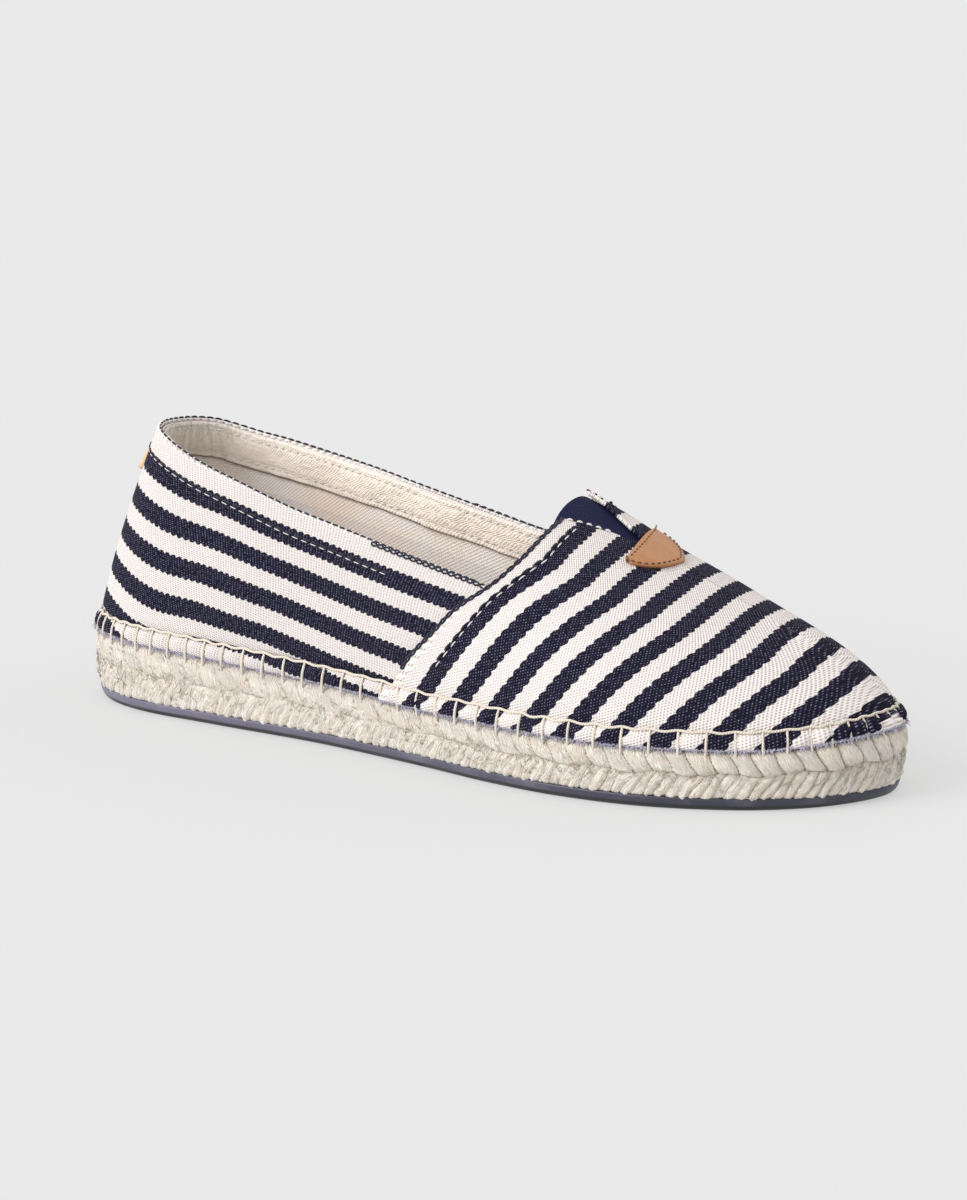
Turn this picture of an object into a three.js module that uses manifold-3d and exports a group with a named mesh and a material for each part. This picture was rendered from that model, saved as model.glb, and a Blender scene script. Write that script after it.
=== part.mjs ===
// A right-foot canvas espadrille: vulcanised rubber outsole, braided jute sole, canvas insole,
// one hollow canvas upper with an elastic gore at the throat, and leather tabs at vamp and heel.
// Millimetres, +X to the toe, -Y to the outer (lateral) side, +Z up, origin under the middle of the sole.
import * as THREE from 'three';
import { mergeVertices } from 'three/addons/utils/BufferGeometryUtils.js';
import Module from 'manifold-3d';

const wasm = await Module();
wasm.setup();

// ---- driving dimensions -------------------------------------------------------------------------
const WALL = 1.8;               // canvas and its lining
const GAP = 0.3;                // clearance kept between pieces that touch
const RUBBER = 3.5;             // outsole thickness
const TOE_SPRING = 0.5;         // lift of the outsole under the toe tip
const HEEL_SPRING = 1.0;        // lift of the outsole under the heel tip
const SOLE_AT_TOES = 16.0;      // floor to the top of the jute, ball and toes
const SOLE_AT_HEEL = 19.4;      // the same under the heel
const TOE_TIP_RISE = 2.6;       // the jute turns up at the toe tip
const WEDGE = { from: 20, to: -120 };        // x over which the sole thickens to the heel
const TIP_RISE = { from: 100, length: 25 };  // x over which the jute turns up
const TOE_CURL = { from: 96, length: 30 };   // x over which the outsole springs at the toe
const HEEL_CURL = { from: -112, length: 14 };
const UPPER_INSET = 1.5;        // the canvas stands this far inside the jute's edge
const INSOLE = 2.0;
const INSOLE_PLAY = 0.4;        // the insole is cut this much smaller than the room inside the upper
const INSOLE_TAPER = 0.2;
const GORE = 1.2;               // elastic webbing
const LEATHER = 1.4;

// ---- the last, a row for each section from heel to toe ------------------------------------------
// lateral and medial: the sole's edge; spine: where both sides meet on top;
// lean: how fast a side leans in; rise: how fast it climbs.
const SECTIONS = [
  { latX: -126, latY: 0, medX: -126, medY: 0, spineX: -86, spineY: 0, lean: 2.80, rise: 1.40 },
  { latX: -119, latY: -18, medX: -119, medY: 17, spineX: -85.5, spineY: 0, lean: 2.40, rise: 1.40 },
  { latX: -100, latY: -28.5, medX: -100, medY: 27, spineX: -82, spineY: 0, lean: 1.58, rise: 1.35 },
  { latX: -70, latY: -30.8, medX: -70, medY: 28, spineX: -64, spineY: 0.5, lean: 1.20, rise: 1.25 },
  { latX: -35, latY: -32, medX: -35, medY: 27, spineX: -34, spineY: 2, lean: 1.15, rise: 1.10 },
  { latX: 0, latY: -36.8, medX: 0, medY: 31.5, spineX: -1, spineY: 5, lean: 1.05, rise: 1.00 },
  { latX: 30, latY: -42.2, medX: 30, medY: 39, spineX: 27, spineY: 8.5, lean: 0.95, rise: 0.95 },
  { latX: 55, latY: -43.6, medX: 55, medY: 43.5, spineX: 50, spineY: 8, lean: 0.90, rise: 0.92 },
  { latX: 80, latY: -39.5, medX: 82, medY: 42, spineX: 71, spineY: 8, lean: 0.88, rise: 0.92 },
  { latX: 104, latY: -27.5, medX: 107, medY: 34.5, spineX: 86, spineY: 8, lean: 0.90, rise: 0.92 },
  { latX: 120, latY: -11, medX: 120, medY: 23, spineX: 93, spineY: 8, lean: 0.92, rise: 0.95 },
  { latX: 126, latY: 8, medX: 126, medY: 8, spineX: 95, spineY: 8, lean: 0.92, rise: 0.95 },
];
const LAST_ROW = SECTIONS.length - 1;
const STATIONS = 2 * LAST_ROW;  // round the foot: out along the lateral side, back along the medial

// Height of the last's top line over the floor, every RIDGE_STEP from RIDGE_START. Behind the throat
// it is only the line that the open sides lean towards.
const RIDGE_START = -130;
const RIDGE_STEP = 20;
const RIDGE = [129, 126, 122, 113, 102, 90.5, 81.5, 74, 67, 57.2, 49.4, 42.3, 35, 27.5];

// Side view of the opening: the collar from heel to corner, which is not the same on both sides, then
// the vamp's rear edge, up and over the instep. The vamp is turned with the forefoot, so on the
// medial side everything moves back by VAMP_TURN for each millimetre from the middle.
const COLLAR = [
  { x: -112, lateral: 77.4, medial: 77.4 },
  { x: -102, lateral: 77.4, medial: 75.8 },
  { x: -96, lateral: 76.2, medial: 73.6 },
  { x: -90, lateral: 74.2, medial: 72.0 },
  { x: -80, lateral: 70.8, medial: 70.6 },
  { x: -64, lateral: 66.3, medial: 68.7 },
  { x: -48, lateral: 61.8, medial: 66.6 },
  { x: -31, lateral: 58.2, medial: 63.4 },
  { x: -13, lateral: 54.7, medial: 59.2 },
  { x: 4, lateral: 51.7, medial: 54.4 },
  { x: 21.4, lateral: 48.8, medial: 50.4 },
];
const VAMP_EDGE = [[25.7, 53.6], [28.6, 58], [29.6, 62.5], [29.2, 72]];
const VAMP_TURN = 0.18;

// Plan of the throat: the gore's V, and the tab that covers its tip.
const THROAT_X = 27;
const THROAT_TURN = 0.18;      // radians
const CENTRE_Y = 4.2;
const GORE_TIP_X = 50;
const GORE_HALF_WIDTH = 9.6;
const GORE_CUT_BACK = 4;       // the V's cut starts this far behind the throat, in the open
const TAB = { x: 46.6, y: 5.3, turn: 0.3, halfWidth: 13.2, length: 15, shoulder: 0.7, bulge: 1.04 };
const HEEL_TAB = { halfWidth: 6.5, bottom: 61.5, top: 72.6, x: -115, depth: 40 };

// ---- curves -------------------------------------------------------------------------------------
function catmull(a, b, c, d, t) {
  const slope = (c - a) * t;
  const bend = (2 * a - 5 * b + 4 * c - d) * t * t;
  const twist = (3 * b - a - 3 * c + d) * t ** 3;
  return 0.5 * (2 * b + slope + bend + twist);
}

// Value of a column at station u round the foot: 'x' and 'y' switch sides, the rest are the same.
function aroundFoot(column, u) {
  const row = (k) => {
    const station = ((k % STATIONS) + STATIONS) % STATIONS;
    const medial = station > LAST_ROW;
    const section = SECTIONS[medial ? STATIONS - station : station];
    const side = medial ? 'med' : 'lat';
    return section[column === 'x' || column === 'y' ? side + column.toUpperCase() : column];
  };
  const k = Math.floor(u);
  return catmull(row(k - 1), row(k), row(k + 1), row(k + 2), u - k);
}

function ridgeHeight(x) {
  const u = THREE.MathUtils.clamp((x - RIDGE_START) / RIDGE_STEP, 0, RIDGE.length - 1);
  const k = Math.min(Math.floor(u), RIDGE.length - 2);
  const at = (i) => RIDGE[THREE.MathUtils.clamp(i, 0, RIDGE.length - 1)];
  return catmull(at(k - 1), at(k), at(k + 1), at(k + 2), u - k);
}

// Top of the jute over the floor: thicker under the heel, turned up at the toe tip.
function soleTop(x) {
  const heel = THREE.MathUtils.smoothstep(-x, -WEDGE.from, -WEDGE.to) * (SOLE_AT_HEEL - SOLE_AT_TOES);
  const tip = TOE_TIP_RISE * THREE.MathUtils.clamp((x - TIP_RISE.from) / TIP_RISE.length, 0, 1) ** 2;
  return SOLE_AT_TOES + heel + tip;
}

// Bottom of the outsole: flat, with a little spring at both tips.
function soleBottom(x) {
  const toe = TOE_SPRING * THREE.MathUtils.clamp((x - TOE_CURL.from) / TOE_CURL.length, 0, 1) ** 2;
  const heel = HEEL_SPRING * THREE.MathUtils.clamp((HEEL_CURL.from - x) / HEEL_CURL.length, 0, 1) ** 2;
  return toe + heel;
}

// The sole's edge at station u, moved in by inset square to the edge.
function soleEdge(u, inset) {
  const point = new THREE.Vector2(aroundFoot('x', u), aroundFoot('y', u));
  const step = 1e-3;
  const ahead = new THREE.Vector2(aroundFoot('x', u + step), aroundFoot('y', u + step));
  const inward = ahead.sub(point).normalize().rotateAround(new THREE.Vector2(), Math.PI / 2);
  return point.addScaledVector(inward, inset);
}

// A point of the last's surface: climb 0 is the feather edge, climb 1 the spine.
function lastPoint(u, climb) {
  const edge = soleEdge(u, UPPER_INSET);
  const angle = climb * Math.PI / 2;
  const out = climb >= 1 ? 0 : Math.cos(angle) ** aroundFoot('lean', u);
  const up = Math.sin(angle) ** aroundFoot('rise', u);
  const x = THREE.MathUtils.lerp(aroundFoot('spineX', u), edge.x, out);
  const y = THREE.MathUtils.lerp(aroundFoot('spineY', u), edge.y, out);
  const foot = soleTop(edge.x);
  return new THREE.Vector3(x, y, foot + (ridgeHeight(x) - foot) * up);
}

// ---- solids -------------------------------------------------------------------------------------
// A closed surface through rings that run round the foot. Each cap is a strip of quads from the
// lateral to the medial side. Equal points are merged, so a ring may close up along the spine.
function loft(rings) {
  const count = rings[0].length;
  const points = rings.flat();
  const triangles = [];
  const quad = (a, b, c, d) => triangles.push(a, b, c, a, c, d);
  for (let ring = 0; ring < rings.length - 1; ring += 1) {
    for (let i = 0; i < count; i += 1) {
      const j = (i + 1) % count;
      quad(ring * count + i, ring * count + j, (ring + 1) * count + j, (ring + 1) * count + i);
    }
  }
  const top = (rings.length - 1) * count;
  for (let i = 0; i < count / 2; i += 1) {
    const a = (count - i) % count;
    const b = count - i - 1;
    quad(a, b, i + 1, i);
    quad(top + i, top + i + 1, top + b, top + a);
  }
  const raw = new THREE.BufferGeometry().setFromPoints(points);
  raw.setIndex(triangles);
  const merged = mergeVertices(raw, 1e-4);
  const index = merged.getIndex().array;
  const kept = [];
  for (let i = 0; i < index.length; i += 3) {
    const [a, b, c] = index.subarray(i, i + 3);
    if (a !== b && b !== c && c !== a) {
      kept.push(a, b, c);
    }
  }
  merged.setIndex(kept);
  return merged;
}

function toManifold(geometry) {
  const bare = geometry.clone();
  bare.deleteAttribute('normal');
  bare.deleteAttribute('uv');
  const merged = mergeVertices(bare, 1e-4);
  const mesh = new wasm.Mesh({
    numProp: 3,
    vertProperties: Float32Array.from(merged.getAttribute('position').array),
    triVerts: Uint32Array.from(merged.getIndex().array),
  });
  return new wasm.Manifold(mesh);
}

function toGeometry(manifold) {
  const mesh = manifold.getMesh();
  const geometry = new THREE.BufferGeometry();
  geometry.setAttribute('position', new THREE.BufferAttribute(mesh.vertProperties, 3));
  geometry.setIndex(new THREE.BufferAttribute(mesh.triVerts, 1));
  geometry.computeVertexNormals();
  return geometry;
}

// The last as a closed form, moved in (or out, below zero) by depth along its normals. It has a skirt
// below the feather edge and runs up past the collar, so that the cuts below trim clean surfaces.
const SKIRT = 14;
const LID_MARGIN = 14;
const CLIMBS = 14;
const COLUMNS_PER_STATION = 4;
const HALVINGS = 40;
const CURVE_STEPS = 4;

function climbToLid(u) {
  let low = 0;
  let high = 1;
  for (let i = 0; i < HALVINGS; i += 1) {
    const middle = (low + high) / 2;
    const point = lastPoint(u, middle);
    const lid = collarHeight(point.x) + LID_MARGIN;
    if (point.z < lid) {
      low = middle;
    } else {
      high = middle;
    }
  }
  return low > 1 - 1e-6 ? 1 : low;
}

function collarHeight(x) {
  const k = COLLAR.findIndex((row, i) => i > 0 && x < row.x);
  if (k < 0) {
    return Infinity;
  }
  const [before, after] = [COLLAR[k - 1], COLLAR[k]];
  return THREE.MathUtils.mapLinear(x, before.x, after.x, before.lateral, after.lateral);
}

function lastForm(depth) {
  const columns = STATIONS * COLUMNS_PER_STATION;
  const stations = Array.from({ length: columns }, (_, i) => i / COLUMNS_PER_STATION);
  const lids = stations.map(climbToLid);
  const rings = [-SKIRT, -SKIRT / 2].map((drop) => stations.map((u) => {
    const foot = lastPoint(u, 0);
    return foot.setZ(foot.z + drop);
  }));
  for (let i = 0; i <= CLIMBS; i += 1) {
    rings.push(stations.map((u, k) => lastPoint(u, lids[k] * i / CLIMBS)));
  }
  const form = loft(rings);
  form.computeVertexNormals();
  const position = form.getAttribute('position');
  const normal = form.getAttribute('normal');
  for (let i = 0; i < position.count; i += 1) {
    const point = new THREE.Vector3().fromBufferAttribute(position, i);
    point.addScaledVector(new THREE.Vector3().fromBufferAttribute(normal, i), -depth);
    position.setXYZ(i, point.x, point.y, point.z);
  }
  return toManifold(form);
}

// A skin of the last between two depths, the outer one first.
function lastSkin(outer, inner) {
  return lastForm(outer).subtract(lastForm(inner));
}

// Prisms: a side-view outline (x, z) pushed right through the shoe, and a plan outline (x, y) pushed up.
const REACH = 160;
const INSTEP_FLOOR = 35;        // plan cuts start above this height and leave the sole alone
const SOLE_END = 130;
const SOLE_STEPS = 40;

function extrude(shape, depth, curveSegments = CURVE_STEPS) {
  return new THREE.ExtrudeGeometry(shape, { depth, bevelEnabled: false, curveSegments });
}

function sidePrism(shape) {
  const prism = extrude(shape, 2 * REACH);
  return toManifold(prism.rotateX(Math.PI / 2).translate(0, REACH, 0));
}

function planPrism(shape) {
  const prism = extrude(shape, REACH, 2 * CURVE_STEPS);
  return toManifold(prism.translate(0, 0, INSTEP_FLOOR));
}

// What the opening takes from one side of the shoe.
function openingPrism(side) {
  const collar = COLLAR.map((row) => new THREE.Vector2(row.x, row[side]));
  const edge = VAMP_EDGE.map(([x, z]) => new THREE.Vector2(x, z));
  const shape = new THREE.Shape().moveTo(-REACH, collar[0].y).lineTo(collar[0].x, collar[0].y);
  shape.splineThru(collar.slice(1)).splineThru(edge);
  shape.lineTo(edge.at(-1).x, REACH).lineTo(-REACH, REACH);
  const prism = extrude(shape, REACH);
  prism.rotateX(Math.PI / 2);
  if (side === 'medial') {
    prism.translate(0, REACH, 0).applyMatrix4(new THREE.Matrix4().makeShear(0, 0, -VAMP_TURN, 0, 0, 0));
  }
  return toManifold(prism);
}

// Everything below the top of the jute, raised by gap.
function solePrism(gap) {
  const shape = new THREE.Shape().moveTo(-REACH, -REACH).lineTo(REACH, -REACH);
  shape.lineTo(REACH, soleTop(REACH) + gap);
  for (let i = 0; i <= SOLE_STEPS; i += 1) {
    const x = SOLE_END - 2 * SOLE_END * i / SOLE_STEPS;
    shape.lineTo(x, soleTop(x) + gap);
  }
  shape.lineTo(-REACH, soleTop(-REACH) + gap);
  return sidePrism(shape);
}

// The gore's V in plan, moved in by inset all round.
function gorePrism(inset) {
  const slope = GORE_HALF_WIDTH / (GORE_TIP_X - THROAT_X);
  const tip = GORE_TIP_X - inset * Math.hypot(1, slope) / slope;
  const rear = THROAT_X - GORE_CUT_BACK + inset;
  const half = (tip - rear) * slope;
  const shape = new THREE.Shape().moveTo(tip, 0).lineTo(rear, half).lineTo(rear, -half);
  return turned(planPrism(shape), THROAT_X, CENTRE_Y, THROAT_TURN);
}

// Turns a plan prism about the vertical line at x, y: the vamp's centre line swings with the forefoot.
function turned(prism, x, y, angle) {
  const turn = new THREE.Matrix4().makeTranslation(x, y, 0);
  turn.multiply(new THREE.Matrix4().makeRotationZ(angle));
  turn.multiply(new THREE.Matrix4().makeTranslation(-x, 0, 0));
  return prism.transform(turn.elements);
}

// A leather tab with a straight rear edge and two curved sides that meet in a soft point.
function tabPrism() {
  const { x, y, turn, halfWidth, length } = TAB;
  const shoulder = x + length * TAB.shoulder;
  const bulge = halfWidth * TAB.bulge;
  const shape = new THREE.Shape().moveTo(x, -halfWidth);
  shape.quadraticCurveTo(shoulder, -bulge, x + length, 0);
  shape.quadraticCurveTo(shoulder, bulge, x, halfWidth);
  return turned(planPrism(shape), x, y, turn);
}

function heelTabPrism() {
  const { halfWidth, bottom, top, x, depth } = HEEL_TAB;
  const box = new THREE.BoxGeometry(depth, 2 * halfWidth, top - bottom);
  return toManifold(box.translate(x, 0, (top + bottom) / 2));
}

// ---- the pieces ---------------------------------------------------------------------------------
const EDGE_COLUMNS = 4;

// Rings of a sole slab from rows of [inset from the edge, height at x], bottom first.
function slab(rows) {
  const columns = STATIONS * EDGE_COLUMNS;
  return loft(rows.map(([inset, height]) => Array.from({ length: columns }, (_, i) => {
    const edge = soleEdge(i / EDGE_COLUMNS, inset);
    return new THREE.Vector3(edge.x, edge.y, height(edge.x));
  })));
}

function outsole() {
  return slab([
    [4.4, soleBottom],
    [3.0, (x) => soleBottom(x) + 0.4],
    [2.0, (x) => soleBottom(x) + 1.3],
    [1.6, () => RUBBER],
  ]);
}

function juteSole() {
  const bottom = RUBBER + GAP;
  const between = (share) => (x) => THREE.MathUtils.lerp(bottom, soleTop(x), share);
  return slab([
    [3.0, () => bottom],
    [1.4, between(0.14)],
    [0.9, between(0.34)],
    [1.3, between(0.52)],
    [0.9, between(0.70)],
    [1.3, between(0.90)],
    [2.6, soleTop],
  ]);
}

function insole() {
  const inset = UPPER_INSET + WALL + GAP + INSOLE_PLAY;
  return slab([
    [inset, (x) => soleTop(x) + GAP],
    [inset + INSOLE_TAPER, (x) => soleTop(x) + GAP + INSOLE],
  ]);
}

function upper() {
  const opening = openingPrism('lateral').add(openingPrism('medial'));
  const cuts = opening.add(gorePrism(0)).add(solePrism(GAP));
  return toGeometry(lastSkin(0, WALL).subtract(cuts));
}

function elasticGore() {
  const depth = (WALL - GORE) / 2;
  const ahead = new THREE.Shape().moveTo(THROAT_X, -REACH).lineTo(REACH, -REACH);
  ahead.lineTo(REACH, REACH).lineTo(THROAT_X, REACH);
  const wedge = gorePrism(GAP).intersect(turned(planPrism(ahead), THROAT_X, CENTRE_Y, THROAT_TURN));
  return toGeometry(lastSkin(depth, depth + GORE).intersect(wedge));
}

function vampTab() {
  return toGeometry(lastSkin(-GAP - LEATHER, -GAP).intersect(tabPrism()));
}

function heelTab() {
  return toGeometry(lastSkin(-GAP - LEATHER, -GAP).intersect(heelTabPrism()));
}

function piece(name, geometry, color, roughness) {
  const mesh = new THREE.Mesh(geometry, new THREE.MeshStandardMaterial({ color, roughness, metalness: 0 }));
  mesh.name = name;
  return mesh;
}

const espadrille = new THREE.Group();
espadrille.add(
  piece('outsole', outsole(), 0x58566a, 0.55),
  piece('jute_sole', juteSole(), 0xe5dad3, 0.95),
  piece('insole', insole(), 0xeadfd0, 0.9),
  piece('upper', upper(), 0xf1e7e5, 0.9),
  piece('elastic_gore', elasticGore(), 0x34344e, 0.85),
  piece('vamp_tab', vampTab(), 0xc4936b, 0.5),
  piece('heel_tab', heelTab(), 0xc4936b, 0.5),
);

export default espadrille;
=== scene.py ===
"""A right-foot espadrille of striped canvas on a braided jute sole, made piece by piece round the
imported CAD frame. Shapes are numpy surfaces in millimetres, toe along +X, outer side along -Y."""

import bmesh
import bpy
import numpy as np
from mathutils import Matrix, Vector


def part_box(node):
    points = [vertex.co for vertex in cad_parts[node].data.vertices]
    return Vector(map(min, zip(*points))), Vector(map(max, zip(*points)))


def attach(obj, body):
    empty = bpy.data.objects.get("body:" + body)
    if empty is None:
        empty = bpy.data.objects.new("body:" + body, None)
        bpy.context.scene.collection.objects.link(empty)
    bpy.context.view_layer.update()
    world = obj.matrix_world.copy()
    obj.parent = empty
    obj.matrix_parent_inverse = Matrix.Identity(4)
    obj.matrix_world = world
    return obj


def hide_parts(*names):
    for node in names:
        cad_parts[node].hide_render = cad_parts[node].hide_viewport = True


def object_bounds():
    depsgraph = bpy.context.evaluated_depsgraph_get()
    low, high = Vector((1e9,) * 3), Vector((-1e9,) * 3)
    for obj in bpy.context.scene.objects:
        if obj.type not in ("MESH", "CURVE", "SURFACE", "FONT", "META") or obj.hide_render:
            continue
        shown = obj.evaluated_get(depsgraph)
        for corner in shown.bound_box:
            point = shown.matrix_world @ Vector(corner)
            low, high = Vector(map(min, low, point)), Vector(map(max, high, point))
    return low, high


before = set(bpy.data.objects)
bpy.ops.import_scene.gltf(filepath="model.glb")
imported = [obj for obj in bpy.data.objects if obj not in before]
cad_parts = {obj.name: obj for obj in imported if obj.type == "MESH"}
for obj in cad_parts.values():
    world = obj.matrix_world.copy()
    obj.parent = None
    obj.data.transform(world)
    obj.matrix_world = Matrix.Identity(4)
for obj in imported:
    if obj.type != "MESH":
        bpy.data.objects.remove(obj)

CAD_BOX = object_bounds()

# ---- rubber outsole ------------------------------------------------------------------------------
# A thin slate-blue sheet of vulcanised rubber, moulded on under the jute. Its lower edge is rounded,
# it springs up a little at toe and heel, and shallow zigzag grooves give the underside its grip.
MM = 0.001
# Stations of the shoe from heel to toe: outer edge x y, inner edge x y, top line x y, lean, rise.
SECTIONS = np.array([
    (-126, 0, -126, 0, -86, 0, 2.80, 1.40), (-119, -18, -119, 17, -85.5, 0, 2.40, 1.40),
    (-100, -28.5, -100, 27, -82, 0, 1.58, 1.35), (-70, -30.8, -70, 28, -64, 0.5, 1.20, 1.25),
    (-35, -32, -35, 27, -34, 2, 1.15, 1.10), (0, -36.8, 0, 31.5, -1, 5, 1.05, 1.00),
    (30, -42.2, 30, 39, 27, 8.5, 0.95, 0.95), (55, -43.6, 55, 43.5, 50, 8, 0.90, 0.92),
    (80, -39.5, 82, 42, 71, 8, 0.88, 0.92), (104, -27.5, 107, 34.5, 86, 8, 0.90, 0.92),
    (120, -11, 120, 23, 93, 8, 0.92, 0.95), (126, 8, 126, 8, 95, 8, 0.92, 0.95)])
OUTER = SECTIONS[:, [0, 1, 4, 5, 6, 7]]
INNER = SECTIONS[:, [2, 3, 4, 5, 6, 7]]
ROUND_THE_FOOT = np.concatenate([OUTER, INNER[-2:0:-1]])
STATIONS = len(ROUND_THE_FOOT)
RUBBER_TOP = (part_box("outsole")[1][2] - CAD_BOX[0][2]) / MM
TOE_SPRING, HEEL_SPRING = 0.5, 1.0
FLAT_INSET, RUBBER_INSET, TOP_INSET = 4.4, 1.65, 1.9
# The rounded lower edge: inset from the outline, then height.
ROUNDED_EDGE = ((FLAT_INSET, 0), (3.7, 0.07), (3.1, 0.3), (2.55, 0.75), (2.1, 1.4), (1.8, 2.2),
                (RUBBER_INSET, 2.9))
GROOVE_PITCH, GROOVE_DEPTH = 4.2, 0.7
ZIGZAG_HEIGHT, ZIGZAG_WIDTH = 1.6, 9


def bend(a, b, c, d, t):
    """A cubic from b to c as t goes from 0 to 1; its slope at b is (c - a) / 2, at c (d - b) / 2."""
    return 0.5 * (2 * b + (c - a) * t + (2 * a - 5 * b + 4 * c - d) * t * t
                  + (3 * b - a - 3 * c + d) * t ** 3)


def round_table(rows, place):
    """The smooth curve through the rows of a closed table, read at place (0 is the first row)."""
    place = np.asarray(place, float)
    first = np.floor(place).astype(int)
    a, b, c, d = (rows[(first + k) % len(rows)] for k in (-1, 0, 1, 2))
    return bend(a, b, c, d, (place - first)[..., None])


def outline(u, inset):
    """Plan of the sole's edge at station u, moved in by inset square to the edge. Stations count
    from the middle of the heel, forwards along the outer side and back along the inner one."""
    here = round_table(ROUND_THE_FOOT[:, :2], u)
    along = round_table(ROUND_THE_FOOT[:, :2], np.asarray(u) + 1e-3) - here
    along /= np.linalg.norm(along, axis=-1, keepdims=True)
    inward = np.stack([-along[..., 1], along[..., 0]], -1)
    return here + np.asarray(inset)[..., None] * inward


def middle_line(u, inset):
    """The line half way between the two edges: equal for u and for its twin on the other side."""
    return 0.5 * (outline(u, inset) + outline(STATIONS - np.asarray(u), inset))


def sole_bottom(x):
    """Underside: flat, but curving up as a square over the last 30 mm and the first 14 mm."""
    toe = np.clip((x - 96) / 30, 0, 1) ** 2
    heel = np.clip((-x - 112) / 14, 0, 1) ** 2
    return TOE_SPRING * toe + HEEL_SPRING * heel


def grid(rows, columns, around=False):
    """Quads of a grid of points kept row by row; around joins the last column to the first."""
    i = np.arange(rows - 1)[:, None] * columns
    j = np.arange(columns if around else columns - 1)[None]
    a, b = i + j, i + (j + 1) % columns
    return np.stack([a, b, b + columns, a + columns], -1).reshape(-1, 4)


def gather(parts):
    """Joins (points, faces, maps) parts to one; maps is a dict of name to two values per point."""
    points = np.concatenate([p for p, f, m in parts])
    starts = np.cumsum([0] + [len(p) for p, f, m in parts[:-1]])
    faces = np.concatenate([f + s for (p, f, m), s in zip(parts, starts)])
    maps = {name: np.concatenate([m[name] for p, f, m in parts]) for name in parts[0][2]}
    return points, faces, maps


def add_piece(name, parts, material, stands_for=(), thickness=0.0):
    """One welded mesh piece from parts in millimetres, riding on the shoe's one body. A thickness
    is grown inwards from its surface."""
    points, faces, maps = gather(parts)
    corners = faces.ravel()
    mesh = bpy.data.meshes.new(name)
    mesh.vertices.add(len(points))
    mesh.vertices.foreach_set("co", (points * MM).astype(np.float32).ravel())
    mesh.loops.add(faces.size)
    mesh.loops.foreach_set("vertex_index", corners.astype(np.int32))
    mesh.polygons.add(len(faces))
    mesh.polygons.foreach_set("loop_start", np.arange(0, faces.size, 4, dtype=np.int32))
    mesh.polygons.foreach_set("use_smooth", np.ones(len(faces), bool))
    for title, values in maps.items():
        layer = mesh.uv_layers.new(name=title)
        layer.data.foreach_set("uv", values[corners].astype(np.float32).ravel())
    mesh.update(calc_edges=True)
    work = bmesh.new()
    work.from_mesh(mesh)
    bmesh.ops.remove_doubles(work, verts=work.verts, dist=2e-6)
    work.to_mesh(mesh)
    work.free()
    mesh.materials.append(material)
    piece = bpy.data.objects.new(name, mesh)
    bpy.context.scene.collection.objects.link(piece)
    if thickness:
        wall = piece.modifiers.new("wall", "SOLIDIFY")
        wall.thickness = thickness * MM
        wall.offset = -1.0
        wall.use_quality_normals = True
    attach(piece, "root")
    if stands_for:
        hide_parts(*stands_for)
    return piece


def slab(rings, u):
    """A closed slab round the foot from rings of points; both end rings lie on the middle line."""
    points = np.stack(rings)
    place = points[..., :2].reshape(-1, 2)
    return points.reshape(-1, 3), grid(len(rings), len(u), around=True), {"plan": place}


def at_height(plan, height):
    """Plan points set at a height, which is one number or one value per point."""
    return np.concatenate([plan, np.broadcast_to(height, len(plan))[:, None]], 1)


def ring(u, inset, height):
    """Points at an inset from the sole's edge, set at a height."""
    return at_height(outline(u, np.broadcast_to(inset, u.shape)), height)


def dye(red, green, blue):
    """A colour mixed as 0 to 255 values on a screen, as the linear colour that a shader wants."""
    c = np.array([red, green, blue]) / 255
    linear = np.where(c <= 0.04045, c / 12.92, ((c + 0.055) / 1.055) ** 2.4)
    return (*[float(v) for v in linear], 1.0)


def feed(tree, node, inputs):
    """Gives a node its inputs: a socket's name or place, with a value or another node's socket."""
    for name, value in inputs.items():
        if isinstance(value, bpy.types.NodeSocket):
            tree.links.new(value, node.inputs[name])
        else:
            node.inputs[name].default_value = value


def wire(tree, kind, inputs=None, **settings):
    """Adds a shader node with its settings and inputs."""
    node = tree.nodes.new("ShaderNode" + kind)
    for name, value in settings.items():
        setattr(node, name, value)
    feed(tree, node, inputs or {})
    return node


def calc(tree, operation, *values):
    """A Math node's result."""
    return wire(tree, "Math", dict(enumerate(values)), operation=operation).outputs[0]


def times(tree, first, second):
    """The product of two values."""
    return calc(tree, "MULTIPLY", first, second)


def ramp(tree, value, low, high, to_low=0.0, to_high=1.0):
    """Maps low..high smoothly to to_low..to_high."""
    limits = {0: value, 1: low, 2: high, 3: to_low, 4: to_high}
    return wire(tree, "MapRange", limits, interpolation_type="SMOOTHSTEP").outputs[0]


def blend(tree, share, first, second):
    """The first colour, with a share of 0 to 1 of the second mixed in."""
    return wire(tree, "Mix", {0: share, 6: first, 7: second}, data_type="RGBA").outputs[2]


def cloud(tree, vector, scale, detail=2.0, rough=0.5):
    """Noise between 0 and 1."""
    return wire(tree, "TexNoise", {"Vector": vector, "Scale": scale, "Detail": detail,
                                   "Roughness": rough}).outputs[0]


def position(tree, axis):
    """A point's place along the shoe (axis 0), across it (1) or above the floor (2), in metres."""
    place = wire(tree, "TexCoord").outputs["Object"]
    return wire(tree, "SeparateXYZ", {0: place}).outputs[axis]


def group(title, inputs, outputs):
    """A new node group with float inputs and outputs; returns it, its inputs, and a function that
    joins a value to one of its outputs."""
    tree = bpy.data.node_groups.new(title, "ShaderNodeTree")
    for name in inputs:
        tree.interface.new_socket(name, in_out="INPUT", socket_type="NodeSocketFloat")
    for name in outputs:
        tree.interface.new_socket(name, in_out="OUTPUT", socket_type="NodeSocketFloat")
    entry = tree.nodes.new("NodeGroupInput")
    out = tree.nodes.new("NodeGroupOutput")

    def give(name, value):
        tree.links.new(value, out.inputs[name])
    return tree, entry.outputs, give


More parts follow.
